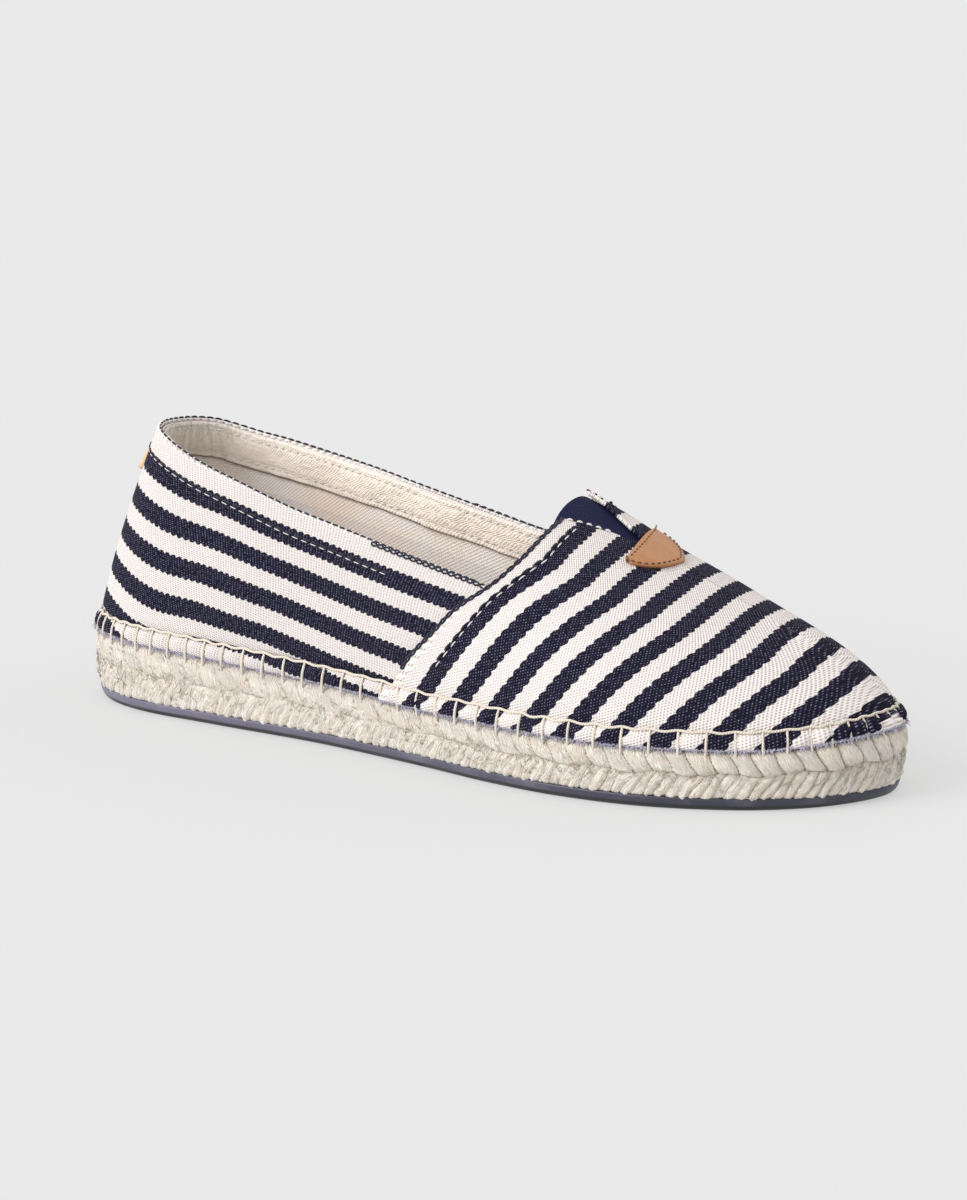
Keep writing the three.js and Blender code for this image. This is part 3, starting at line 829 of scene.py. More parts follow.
def girth_at(table, u, climb):
    """Reads the girth table between its points: distance climbed and its share of the girth."""
    along = (u - TABLE_START) / (TOE_STATION - TABLE_START) * TABLE_STATIONS
    a = np.clip(along, 0, TABLE_STATIONS - 0.001)
    b = np.clip(climb * TABLE_CLIMBS, 0, TABLE_CLIMBS - 0.001)
    i, j = np.floor(a).astype(int), np.floor(b).astype(int)
    s, t = a - i, b - j
    arc = ((table[i, j] * (1 - s) + table[i + 1, j] * s) * (1 - t)
           + (table[i, j + 1] * (1 - s) + table[i + 1, j + 1] * s) * t)
    whole = table[i, -1] * (1 - s) + table[i + 1, -1] * s
    return arc, arc / whole


def stripe_number(point, share, outer):
    """Counts navy stripes from the throat to the toe. A stripe crosses the top at its pitch, turned
    back by 0.146 of the distance past the forefoot's line, 7.7 mm out from the middle. Then it
    falls back to its place at the sole: at once on the inner side, from well down on the outer."""
    x, past = point[..., 0], point[..., 1] + 7.7
    turned_back = -0.146 * 0.5 * (past + np.sqrt(past ** 2 + 9))

    def line(n):
        top = FIRST_TOP + TOP_PITCH * (n - 1) + turned_back
        if outer:
            fall = np.clip(1 - share / 0.62, 0, 1) ** (1.25 + 0.15 * np.clip(n - 1, 0, 12))
            return top + (FIRST_OUTER + FOOT_PITCH * (n - 1) - top) * fall
        fall = np.clip(1 - share, 0, 1) ** 1.7
        return top + (FIRST_INNER + FOOT_PITCH * (n - 1) - top) * fall
    return solve(np.full(x.shape, -3.0), np.full(x.shape, 14.0), lambda n: line(n) > x)


def vamp_corner(outer):
    """Climb of the corner where the vamp's rear edge meets the V."""
    dense = np.linspace(0, 1, 400)
    rear, throat = vamp_start(dense, outer)
    return dense[np.argmax(throat > rear)]


def vamp_point(u, climb, outer, extra=0.0):
    """A point of the vamp: lifted over the heel piece behind, with a soft fold along its top line.
    The inner half is lifted a little more beside the top of the V."""
    place = on_side(u, outer)
    rear, throat = vamp_start(climb, outer)
    bare = last(place, climb)
    behind = 1 - smooth((u - rear) * STATION_LENGTH, 12, 26)
    lift = 1.1 * behind * (1 - smooth(bare[..., 2], 46, 53))
    if not outer:
        beside = 1 - smooth((u - np.minimum(rear, throat)) * STATION_LENGTH, 0, 14)
        lift = lift + 0.7 * beside * smooth(bare[..., 2], 54, 62)
    spine = round_table(ROUND_THE_FOOT, place)[..., 3]
    along = smooth(bare[..., 0], 42, 56) * (1 - smooth(bare[..., 0], 76, 100))
    lift = lift + 0.75 * np.exp(-np.abs(bare[..., 1] - spine) / 3.4) * along
    return canvas(place, climb, lift + extra)


def vamp_half(outer):
    """One half of the vamp: rows of equal climb, columns from its rear edge to the toe's middle. One
    row is moved to the corner of the V. At the toe the inner half's stripes join the outer's."""
    corner = vamp_corner(outer)
    rise = even_climbs(np.array([7.0]), np.zeros(1), np.ones(1), VAMP_ROWS)[0][0]
    nearest = np.argmin(np.abs(rise - corner))
    climb = rise.copy()
    climb[nearest] = corner
    rear, throat = vamp_start(climb, outer)
    start = np.maximum(rear, throat)
    u = start[None] + (TOE_STATION - start)[None] * np.linspace(0, 1, VAMP_COLUMNS)[:, None]
    climb = np.repeat(climb[None], VAMP_COLUMNS, 0)
    points = vamp_point(u, climb, outer)
    bare = last(on_side(u, outer), climb)
    arc, share = girth_at(girth_table(outer), u, climb)
    number = stripe_number(bare, share, outer)
    if not outer:
        twin = stripe_number(bare, share, True)
        number = number + (twin - number) * smooth(u, 9.4, TOE_STATION)
    run = run_at(on_side(u, outer))
    over = points[..., 2] - sole_top(points[..., 0])
    weave_start = 0 if outer else 400
    maps = {"cloth": np.stack([arc + weave_start, number * STRIPE_PITCH], -1),
            "edge": np.stack([run, over], -1), "count": np.stack([number, number], -1)}
    if not outer:
        points = points[::-1]
        maps = {name: m[::-1] for name, m in maps.items()}
    return points, maps


outer_vamp, outer_maps = vamp_half(True)
inner_vamp, inner_maps = vamp_half(False)
add_piece("vamp_canvas", [cloth_part(outer_vamp, outer_maps), cloth_part(inner_vamp, inner_maps)],
          striped, (), CANVAS)

# ---- lining --------------------------------------------------------------------------------------
# A thin cotton backing on the inside of both canvas pieces, glued to them before the shoe is sewn;
# the navy bars show through it faintly.
LINING_DEPTH, LINING = 1.25, 0.45
LINING_ROWS, LINING_COLUMNS, VAMP_LINING_COLUMNS = 40, 200, 60
u_lining = np.linspace(-HEEL_ENDS, HEEL_ENDS, LINING_COLUMNS)
top = collar_climb(u_lining) - 0.004
lining_climb, lining_arc = even_climbs(u_lining, np.zeros(top.shape), top, LINING_ROWS)
lining_u = np.repeat(u_lining[:, None], LINING_ROWS, 1)


def inside(u, climb, depth):
    """The last moved in square to its surface."""
    return last(u, climb) - outward(u, climb) * depth


def vamp_lining(outer):
    """One half of the vamp's backing, from just ahead of the canvas's rear edge to the toe."""
    climb = np.linspace(0, 1, LINING_ROWS)
    start = np.maximum(*vamp_start(climb, outer)) + 0.25
    ahead = np.linspace(0, 1, VAMP_LINING_COLUMNS)[:, None]
    u = start[None] + (TOE_STATION - start)[None] * ahead
    climb = np.repeat(climb[None], VAMP_LINING_COLUMNS, 0)
    place = on_side(u, outer)
    arc, share = girth_at(girth_table(outer), u, climb)
    number = stripe_number(last(place, climb), share, outer)
    points = inside(place, climb, LINING_DEPTH + 0.5)
    cloth = np.stack([arc, number * STRIPE_PITCH], -1)
    if outer:
        return cloth_part(points, {"cloth": cloth})
    return cloth_part(points[::-1], {"cloth": cloth[::-1]})


run = np.repeat((u_lining * STATION_LENGTH)[:, None], LINING_ROWS, 1)
bars = (lining_arc[:, -1:] - lining_arc - FIRST_STRIPE) / BACK_PITCH
parts = [cloth_part(inside(lining_u, lining_climb, LINING_DEPTH),
                    {"cloth": np.stack([run, bars * STRIPE_PITCH], -1)}),
         vamp_lining(True), vamp_lining(False)]

lining, tree, shader = finish("cotton lining", roughness=0.93, sheen_weight=0.1,
                              specular_ior_level=0.2)
along, across = uv(tree, "cloth")
cloth = use(tree, stripe_effect, {"Along": along, "Across": across, "Pitch": STRIPE_PITCH})
weave = use(tree, weave_effect, {"Along": along, "Across": across, "Yarn": 1.0})
stain = cloud(tree, wire(tree, "TexCoord").outputs["Object"], 34.0, 3.0, 0.6)
colour = blend(tree, ramp(tree, stain, 0.42, 0.62), dye(255, 250, 246), dye(255, 240, 226))
colour = blend(tree, times(tree, weave["Height"], 0.35), colour, dye(222, 210, 204))
colour = blend(tree, times(tree, cloth["Navy"], 0.20), colour, dye(186, 188, 204))
tree.links.new(colour, shader.inputs["Base Color"])
relief(tree, shader, weave["Height"], 0.2)
add_piece("cotton_lining", parts, lining, (), LINING)

# ---- collar tape ---------------------------------------------------------------------------------
# A cream cotton tape, about 10.6 mm wide, sewn inside the collar with two rows of stitches. It
# lies in soft crumples, and its end makes a small step where it overlaps on the inner side.
TAPE_DEPTH, TAPE, TAPE_WIDTH = 1.9, 0.6, 10.6
TAPE_ENDS = 5.72
TAPE_ROWS, TAPE_COLUMNS = 18, 300
TAPE_SEAMS = (0.2, 0.86)


def climb_below(u, top, below):
    """Climb that lies a distance below another one, measured over the last."""
    return solve(np.zeros(u.shape), top, lambda c: even_climbs(u, c, top, 2)[1][:, -1] < below)


u_tape = np.linspace(-TAPE_ENDS, TAPE_ENDS, TAPE_COLUMNS)
tape_top = collar_climb(u_tape) - 0.003
tape_foot = climb_below(u_tape, tape_top, TAPE_WIDTH)
tape_climb, tape_arc = even_climbs(u_tape, tape_foot, tape_top, TAPE_ROWS)
tape_u = np.repeat(u_tape[:, None], TAPE_ROWS, 1)
across_tape = tape_arc / tape_arc[:, -1:]
swell = 0.35 * np.sin(np.pi * across_tape) ** 0.5 + 0.16 * np.sin(tape_u * 9 + 3 * across_tape)
swell = swell + 0.14 * np.sin(tape_u * 23 - 5 * across_tape) * np.sin(tape_u * 3.1)
swell = swell + 0.5 * ((tape_u > -4.35) & (tape_u < -4.0))
for row in TAPE_SEAMS:
    swell = swell - 0.35 * np.exp(-((across_tape - row) / 0.05) ** 2)
tape_points = inside(tape_u, tape_climb, TAPE_DEPTH + swell[..., None])
tape_run = np.repeat((u_tape * STATION_LENGTH)[:, None], TAPE_ROWS, 1)
tape_maps = {"cloth": np.stack([tape_run, tape_arc], -1)}

tape, tree, shader = finish("cream cotton tape", roughness=0.9, sheen_weight=0.12,
                            specular_ior_level=0.2)
along, across = uv(tree, "cloth")
chevron = calc(tree, "ADD", along, off_middle(tree, calc(tree, "DIVIDE", across, 3.2)))
weave = use(tree, weave_effect, {"Along": chevron, "Across": across, "Yarn": 0.8})
colour = blend(tree, weave["Tone"], dye(255, 248, 238), dye(252, 238, 224))
# Painted shade: a dark line along the lowest 0.7 mm of the tape, where it meets the lining.
painted_edge_shade = ramp(tree, across, 0.7, 0.3)
colour = blend(tree, times(tree, painted_edge_shade, 0.7), colour, dye(120, 106, 98))
tree.links.new(colour, shader.inputs["Base Color"])
crumple = cloud(tree, vector(tree, along, across), 0.55, 3.0, 0.55)
relief(tree, shader, calc(tree, "MULTIPLY_ADD", weave["Height"], 0.22, crumple), 0.9)
add_piece("collar_tape", [cloth_part(tape_points, tape_maps)], tape, (), TAPE)

# ---- elastic gore --------------------------------------------------------------------------------
# Navy ribbed elastic webbing let into the V of the throat, sewn under both edges of the vamp. Its
# free rear edge arches up a little between them.
GORE_DEPTH, GORE = 1.05, 0.8
GORE_UNDER = 2.2
GORE_ROWS, GORE_COLUMNS = 44, 40


def last_over(flat):
    """Finds the last's surface over plan points near the top line by Newton steps in station and
    climb, on the outer half where y is below the top line's and on the inner half elsewhere.
    Returns the stations and climbs."""
    spine = np.interp(flat[..., 0], SECTIONS[:, 4], SECTIONS[:, 5])
    outer = flat[..., 1] < spine
    u = np.interp(flat[..., 0], SECTIONS[4:, 4], np.arange(4, 12)) - 0.2
    c = np.clip(1 - np.abs(flat[..., 1] - spine) / 60, 0.3, 0.97)
    for _ in range(24):
        place = np.where(outer, u, STATIONS - u)
        here = last(place, c)[..., :2]
        by_u = (last(place + 1e-3, c)[..., :2] - here) / 1e-3 * np.where(outer, 1, -1)[..., None]
        by_c = (last(place, c - 1e-3)[..., :2] - here) / -1e-3
        miss = flat - here
        det = by_u[..., 0] * by_c[..., 1] - by_u[..., 1] * by_c[..., 0]
        du = (miss[..., 0] * by_c[..., 1] - miss[..., 1] * by_c[..., 0]) / det
        dc = (by_u[..., 0] * miss[..., 1] - by_u[..., 1] * miss[..., 0]) / det
        u = np.clip(u + np.clip(du, -0.4, 0.4), 3.5, 11)
        c = np.clip(c + np.clip(dc, -0.08, 0.08), 0.2, 0.9995)
    return np.where(outer, u, STATIONS - u), c


# The webbing on a grid: ahead runs 0 to 1 from its free edge to the tip, sides -1 to 1 across it.
ahead = np.linspace(0, 1, GORE_ROWS)[:, None]
sides = np.linspace(-1, 1, GORE_COLUMNS)[None]
rear_middle = 0.5 * (THROAT_OUTER + THROAT_INNER)
axis = (THROAT_TIP - rear_middle) / np.linalg.norm(THROAT_TIP - rear_middle)
cross = np.array([-axis[1], axis[0]])
half_width = 0.5 * np.linalg.norm(THROAT_INNER - THROAT_OUTER)
reach = np.linalg.norm(THROAT_TIP - rear_middle) + 2
width = half_width * (1 - ahead * 0.93) + GORE_UNDER
bow = 1 - sides ** 2
flat = (rear_middle + axis * (ahead * reach - bow * (1 - ahead))[..., None]
        + cross * (width * sides)[..., None])
arch = 0.5 * bow * (1 - ahead) ** 2 - 0.9 * bow * np.sin(np.pi * ahead)
gore_points = inside(*last_over(flat), (GORE_DEPTH - arch)[..., None])[:, ::-1]
gore_plan = np.stack(np.broadcast_arrays(ahead * reach, width * sides), -1)[:, ::-1]

elastic, tree, shader = finish("navy elastic", roughness=0.85, specular_ior_level=0.15)
along, across = uv(tree, "cloth")
rib = wave(tree, across, 0.95)
knit = wave(tree, along, 0.7)
fine = calc(tree, "MULTIPLY_ADD", calc(tree, "ADD", rib, times(tree, knit, 0.5)), 0.3, 0.5)
# Painted shade: the navy is darker in the grooves of the ribs and knit and paler on their tops.
colour = blend(tree, fine, dye(16, 18, 42), dye(38, 42, 80))
tree.links.new(colour, shader.inputs["Base Color"])
relief(tree, shader, fine, 0.25)
webbing = (gore_points.reshape(-1, 3), grid(GORE_ROWS, GORE_COLUMNS),
           {"cloth": gore_plan.reshape(-1, 2)})
add_piece("throat_elastic", [webbing], elastic, ("elastic_gore",), GORE)

# ---- leather tabs --------------------------------------------------------------------------------
# Smooth tan leather: a soft triangle over the point of the elastic, sewn all round a little inside
# its edge, and a short pull strip sewn to the back of the heel.
LEATHER, TAB_LEATHER = 1.4, 1.1
TAB_PLACE, TAB_TURN = np.array([46.6, 5.3]), 0.3
TAB_HALF, TAB_LENGTH = 12.2, 12.4
TAB_COLUMNS, TAB_ROWS = 61, 31


def tab_outline(t):
    """Half of the tab's edge from its rear corner to its tip: a curve with one pull point."""
    corner, tip = np.array([0, TAB_HALF]), np.array([TAB_LENGTH, 0])
    pull = np.array([TAB_LENGTH * 0.7, TAB_HALF * 1.04])
    t = t[..., None]
    return (1 - t) ** 2 * corner + 2 * t * (1 - t) * pull + t * t * tip


def tab_plan(across, ahead):
    """Plan of the tab: across -1..1 is side to side, ahead 0..1 rear to front; its front follows the
    two curves and its rear edge is straight."""
    front = tab_outline(np.clip(1 - np.abs(across), 0, 1) ** 0.5)
    sine, cosine = np.sin(TAB_TURN), np.cos(TAB_TURN)
    turn = np.array([[cosine, -sine], [sine, cosine]])
    return TAB_PLACE + np.stack([front[..., 0] * ahead, front[..., 1] * np.sign(across)], -1) @ turn.T


# The tab swells gently from its rim, whose distance in millimetres also colours the cut edge.
across = np.sin(np.linspace(-1, 1, TAB_COLUMNS)[:, None] * np.pi / 2) * 0.9999
across, ahead = np.broadcast_arrays(across, np.linspace(0, 1, TAB_ROWS)[None])
flat = tab_plan(across, ahead)
u, c = last_over(flat)
to_side = 1 - np.abs(across)
rim = np.minimum.reduce([ahead * 12, (1 - ahead) * 12 * to_side, 12 * to_side])
tab_lift = 1.45 + 0.35 * (1 - np.exp(-rim / 1.2))
tab_points = last(u, c) + outward(u, c) * tab_lift[..., None]
tab_maps = {"plan": flat.reshape(-1, 2), "rim": np.stack([rim, rim], -1).reshape(-1, 2)}

# Fine pebbles and cloudy patches of lighter and darker tan.
grain_effect, given, give = group("leather grain", ["Scale"], ["Pebble", "Tone"])
place = wire(grain_effect, "TexCoord").outputs["Object"]
cells = wire(grain_effect, "TexVoronoi", {"Vector": place, "Scale": given["Scale"]})
give("Pebble", cells.outputs[0])
give("Tone", cloud(grain_effect, place, 160.0, 4.0, 0.6))


def leather_finish(title, light, dark, edge):
    """Smooth leather: cloudy tan with fine pores, and its own colour along the cut edge."""
    material, tree, shader = finish(title, specular_ior_level=0.4)
    grain = use(tree, grain_effect, {"Scale": 1500.0})
    colour = blend(tree, grain["Tone"], light, dark)
    colour = blend(tree, ramp(tree, uv(tree, "rim")[0], 0.7, 0.1), colour, edge)
    tree.links.new(colour, shader.inputs["Base Color"])
    tree.links.new(ramp(tree, grain["Tone"], 0.2, 0.8, 0.42, 0.58), shader.inputs["Roughness"])
    relief(tree, shader, grain["Pebble"], 0.05)
    return material


leather = leather_finish("tan leather", dye(190, 138, 94), dye(168, 114, 74),
                         dye(168, 116, 76))
pale_leather = leather_finish("pale tan leather", dye(206, 164, 112), dye(190, 146, 96),
                              dye(220, 190, 144))
add_piece("throat_tab", [(tab_points.reshape(-1, 3), grid(TAB_COLUMNS, TAB_ROWS), tab_maps)],
          leather, ("vamp_tab",), TAB_LEATHER)

PULL_LOW, PULL_HIGH, PULL_HALF_SPAN = 61.5, 72.6, 0.36
PULL_ROWS, PULL_COLUMNS = 17, 25
PULL_MM_PER_STATION = 18


def climb_at_height(u, height):
    """Climb at which the last reaches a height above the floor."""
    return solve(np.zeros(u.shape), np.full(u.shape, 0.99), lambda c: last(u, c)[..., 2] > height)


def pull_stands_off(share):
    """How far the pull's face stands off the last: less near its top, at share 1, than below."""
    return LEATHER + 0.5 + 1.5 * (1 - share) ** 0.8


u_pull = np.linspace(-PULL_HALF_SPAN, PULL_HALF_SPAN, PULL_COLUMNS)
low, high = climb_at_height(u_pull, PULL_LOW), climb_at_height(u_pull, PULL_HIGH)
pull_climb, pull_arc = even_climbs(u_pull, low, high, PULL_ROWS)
pull_u = np.repeat(u_pull[:, None], PULL_ROWS, 1)
to_end = np.minimum(pull_arc, pull_arc[:, -1:] - pull_arc)
rim = np.minimum(to_end, (PULL_HALF_SPAN - np.abs(pull_u)) * PULL_MM_PER_STATION)
pull_lift = pull_stands_off(pull_arc / pull_arc[:, -1:])
pull_points = last(pull_u, pull_climb) + outward(pull_u, pull_climb) * pull_lift[..., None]
pull_maps = {"plan": pull_points[..., :2], "rim": np.stack([rim, rim], -1)}
add_piece("heel_pull", [cloth_part(pull_points, pull_maps)], pale_leather,
          ("heel_tab",), LEATHER)

# ---- blanket stitching ---------------------------------------------------------------------------
# Waxed cotton thread that holds the canvas to the jute: a thread runs along the cloth 5 mm above its
# raw edge, and at each stitch a leg comes down from it over the edge and into the braid.
LEG_RADIUS, CORD_RADIUS = 0.40, 0.38


def frame_along(axis, away):
    """Unit vectors square to an axis: up, the part of away that leans off the axis, and sideways."""
    high = away - axis * np.sum(away * axis, 1, keepdims=True)
    high /= np.linalg.norm(high, axis=1, keepdims=True)
    return high, np.cross(high, axis)


def spindles(start, end, away, radius, bulge=0.0, sides=6, rings=6, blunt=3.0):
    """Closed spindles, one from each start to its end. The middle stands bulge off the straight line
    along away; the half width is radius times the root of 1 - |2t-1|^blunt."""
    t = 0.5 - 0.5 * np.cos(np.linspace(0, np.pi, rings))
    axis = end - start
    length = np.linalg.norm(axis, axis=1, keepdims=True)
    axis = axis / length
    high, wide = frame_along(axis, away)
    straight = start[:, None] + axis[:, None] * (t[:, None] * length[:, :, None])
    middle = straight + high[:, None] * (bulge * np.sin(np.pi * t)[:, None])
    angle = np.arange(sides) * 2 * np.pi / sides
    radius = np.broadcast_to(radius, (len(start),))[:, None]
    half = np.sqrt(np.clip(1 - np.abs(2 * t - 1) ** blunt, 0, 1)) * radius
    spoke = (wide[:, None, None] * np.cos(angle)[:, None]
             + high[:, None, None] * np.sin(angle)[:, None])
    points = middle[:, :, None] + spoke * half[..., None, None]
    one = grid(rings, sides, around=True)
    faces = (one[None] + (np.arange(len(start)) * rings * sides)[:, None, None]).reshape(-1, 4)
    along = np.broadcast_to((t * length)[:, :, None], points.shape[:-1])
    turn = np.broadcast_to(angle / (2 * np.pi), points.shape[:-1])
    lot = np.broadcast_to(shade_of(np.arange(len(start)), 2)[:, None, None], points.shape[:-1])
    maps = {"thread": np.stack([along, turn], -1).reshape(-1, 2),
            "lot": np.stack([lot, lot], -1).reshape(-1, 2)}
    return points.reshape(-1, 3), faces, maps


def cord_along(path, away, radius, sides=6, closed=False):
    """A round cord along a path, with the side that faces away kept up. An open one tapers to a
    point at its two ends."""
    if closed:
        axis = np.roll(path, -1, 0) - np.roll(path, 1, 0)
    else:
        axis = np.gradient(path, axis=0)
    axis /= np.linalg.norm(axis, axis=1, keepdims=True)
    high, wide = frame_along(axis, away)
    angle = np.arange(sides) * 2 * np.pi / sides
    radius = np.broadcast_to(radius, (len(path),)).copy()
    if not closed:
        radius[[0, -1]] = 0
    spoke = wide[:, None] * np.cos(angle)[:, None] + high[:, None] * np.sin(angle)[:, None]
    points = path[:, None] + spoke * radius[:, None, None]
    faces = grid(len(path), sides, around=True)
    if closed:
        first = np.arange(sides)
        final = first + (len(path) - 1) * sides
        join = np.stack([final, np.roll(final, -1), np.roll(first, -1), first], -1)
        faces = np.concatenate([faces, join])
    along = np.broadcast_to(run_along(path)[:, None], points.shape[:-1])
    turn = np.broadcast_to(angle / (2 * np.pi), points.shape[:-1])
    maps = {"thread": np.stack([along, turn], -1).reshape(-1, 2), "lot": np.full((turn.size, 2), 0.5)}
    return points.reshape(-1, 3), faces, maps


def even_steps(path, others, pitch, offset=0.0):
    """Points every pitch millimetres along a path, with the other values there."""
    run = run_along(path)
    at = np.arange(offset, run[-1], pitch)
    return [np.stack([np.interp(at, run, rows[:, axis]) for axis in range(3)], -1)
            for rows in (path, *others)]


def dashes(path, away, pitch, share, radius, bulge=0.15, offset=0.0, **shape):
    """A running stitch: one spindle each pitch along a path, share of the pitch long."""
    start, high = even_steps(path, [away], pitch, offset)
    end = even_steps(path, [away], pitch, offset + pitch * share)[0]
    count = min(len(start), len(end))
    return spindles(start[:count], end[:count], high[:count], radius, bulge, **shape)


def over_cloth(u, climb, extra):
    """Points on whichever canvas lies outermost, and the way out of the shoe there."""
    u = np.asarray(u) % STATIONS
    folded = np.minimum(u, STATIONS - u)
    point = canvas(u, climb, extra)
    for outer in (True, False):
        on_vamp = ((u <= TOE_STATION) == outer) & (folded > vamp_start(climb, outer)[0])
        point = np.where(on_vamp[:, None], vamp_point(folded, climb, outer, extra), point)
    return point, outward(u, climb)


def climb_above(u, above):
    """Climb that lies a height above the jute's top at each station."""
    def past(climb):
        point = last(u, climb)
        return point[..., 2] - sole_top(point[..., 0]) > above
    return solve(np.zeros(u.shape), np.ones(u.shape) * 0.6, past)


CORD_STEPS = 40
u_cord = np.arange(0, STATIONS, 1 / CORD_STEPS)
sag = np.sin(np.pi * stitch_phase(u_cord)) ** 2
cord_place = CORD_HEIGHT + 0.2 - 0.4 * sag * (0.6 + 0.8 * shade_of(np.floor(stitch_phase(u_cord)), 5))
cord_path, cord_away = over_cloth(u_cord, climb_above(u_cord, cord_place), 0.62)
stitch_parts = [cord_along(cord_path, cord_away, CORD_RADIUS, closed=True)]
u_leg = np.interp(np.arange(STITCHES), fine_phase, fine_u)
lean_leg = 0.022 * (shade_of(np.arange(STITCHES), 6) - 0.5)
leg_climb = climb_above(u_leg, np.full(u_leg.shape, CORD_HEIGHT + 0.5))
leg_top, leg_away = over_cloth(u_leg, leg_climb, 0.5)
plan = outline(u_leg + lean_leg, np.full(u_leg.shape, 0.75))
leg_foot = at_height(plan, sole_top(plan[:, 0]) - 2.0)
stitch_parts.append(spindles(leg_top, leg_foot, leg_away, LEG_RADIUS, 0.75, rings=8, blunt=6.0))

# Two twisted strands: lay is the length of thread in which one strand goes round once.
twist_effect, given, give = group("twisted thread", ["Along", "Turn", "Lay"], ["Strand", "Fluff"])
lays = calc(twist_effect, "DIVIDE", given["Along"], given["Lay"])
spiral = calc(twist_effect, "ADD", lays, given["Turn"])
give("Strand", calc(twist_effect, "ABSOLUTE", wave(twist_effect, spiral, 1.0)))
give("Fluff", cloud(twist_effect, vector(twist_effect, given["Along"], given["Turn"]), 3.0, 3.0))


def thread_finish(title, dark, light, lay=1.6):
    """Twisted cotton thread: paler on the strands and darker between them, where shade is painted in."""
    material, tree, shader = finish(title, roughness=0.85, sheen_weight=0.15,
                                    specular_ior_level=0.25)
    along, turn = uv(tree, "thread")
    twist = use(tree, twist_effect, {"Along": along, "Turn": turn, "Lay": lay})
    tone = calc(tree, "MULTIPLY_ADD", twist["Strand"], 0.7, times(tree, twist["Fluff"], 0.3))
    # Painted shade between the twisted strands.
    colour = blend(tree, tone, dark, light)
    colour = blend(tree, times(tree, uv(tree, "lot")[0], 0.3), colour, dark)
    tree.links.new(colour, shader.inputs["Base Color"])
    relief(tree, shader, twist["Strand"], 0.15)
    return material


cream_thread = thread_finish("cream thread", dye(206, 192, 174), dye(244, 236, 222))
add_piece("blanket_stitch", stitch_parts, cream_thread)

# ---- frayed edge ---------------------------------------------------------------------------------
# The canvas is left raw under the stitching. Short lavender yarn ends hang out of its edge, each
# out of the shoe a little and down over the jute.
FRAYS = 1500
draw = np.random.default_rng(11)
u_fray = np.sort(draw.uniform(0, STATIONS, FRAYS))
fray_from, fray_away = over_cloth(u_fray, climb_above(u_fray, np.full(FRAYS, 0.7)), 0.05)
fray_to = fray_from + fray_away * draw.uniform(0.0, 0.7, (FRAYS, 1))
fray_to[:, 2] -= draw.uniform(0.5, 1.5, FRAYS)
fray_to[:, :2] += draw.normal(0, 0.45, (FRAYS, 2))
fray_radius = draw.uniform(0.08, 0.15, FRAYS)
frays = spindles(fray_from, fray_to, fray_away, fray_radius, 0.1, sides=4, rings=4)
lavender_thread = thread_finish("lavender yarn ends", dye(168, 168, 206), dye(238, 234, 242), 0.8)
add_piece("frayed_edge", [frays], lavender_thread)

# ---- woven edges and sewing ----------------------------------------------------------------------
# The collar and the vamp's rear edge are the cloth's own woven edges, bound in navy: dashes round
# the collar, an open chain of loops near its corners and on the vamp. White and navy running
# stitches lie under the collar, along the V and beside the vamp's rear edge.
EDGE_PITCH, LOOP_PITCH, VAMP_LOOP_PITCH = 2.5, 2.3, 2.6
HEEL_SEWING_PITCH, VAMP_SEWING_PITCH, THROAT_SEWING_PITCH, TAPE_SEWING_PITCH = 3.2, 3.7, 2.6, 2.4
u_edge = np.linspace(-5.62, 5.62, 500)
edge_path = inside(u_edge, collar_climb(u_edge), 0.45)
edge_path[:, 2] += 0.2
edge_away = np.array([0.0, 0.0, 1.0]) + 0.6 * outward(u_edge, collar_climb(u_edge))
navy_parts = [dashes(edge_path, edge_away, EDGE_PITCH, 0.84, 0.29, 0.08, blunt=4.0)]
white_parts = [dashes(edge_path, edge_away, EDGE_PITCH, 0.24, 0.25, 0.04, offset=2.0)]


def twin_cords(path, away, pitch, spread, radius):
    """Two thin cords that swing apart by spread and cross again twice a pitch, as an open chain."""
    turns = np.pi * run_along(path) / pitch
    wide = np.cross(away, np.gradient(path, axis=0))
    wide /= np.linalg.norm(wide, axis=1, keepdims=True)
    swing = wide * spread * np.sin(turns)[:, None] + 0.08 * away * np.cos(turns)[:, None]
    return [cord_along(path + swing * way, away, radius, sides=5) for way in (-1, 1)]


for way in (-1, 1):
    u_loop = way * np.linspace(4.45, 5.70, 160)
    loop_path = canvas(u_loop, collar_climb(u_loop) - 0.006, 0.1)
    loop_away = outward(u_loop, collar_climb(u_loop))
    navy_parts += twin_cords(loop_path, loop_away, LOOP_PITCH, 0.5, 0.27)

# Two rows on the heel piece, each a distance below the collar.
u_row = np.linspace(-4.7, 4.7, 400)
for below, lot, share, radius in ((6.35, navy_parts, 0.88, 0.3), (7.05, white_parts, 0.72, 0.16)):
    climb = climb_below(u_row, collar_climb(u_row), below)
    row = canvas(u_row, climb, 0.08)
    lot.append(dashes(row, outward(u_row, climb), HEEL_SEWING_PITCH, share, radius, 0.1))


def stripe_station(climb, outer, number):
    """Station where the vamp's stripe of a number, whole or not, lies at each climb."""
    table = girth_table(outer)

    def past(u):
        point = last(on_side(u, outer), climb)
        return stripe_number(point, girth_at(table, u, climb)[1], outer) > number
    return solve(vamp_start(climb, outer)[0], np.full(climb.shape, 8.0), past)


def vamp_line(u, climb, outer, extra):
    """A line on the vamp, lifted off it by extra, and the way out of the shoe along it."""
    return vamp_point(u, climb, outer, extra), outward(on_side(u, outer), climb)


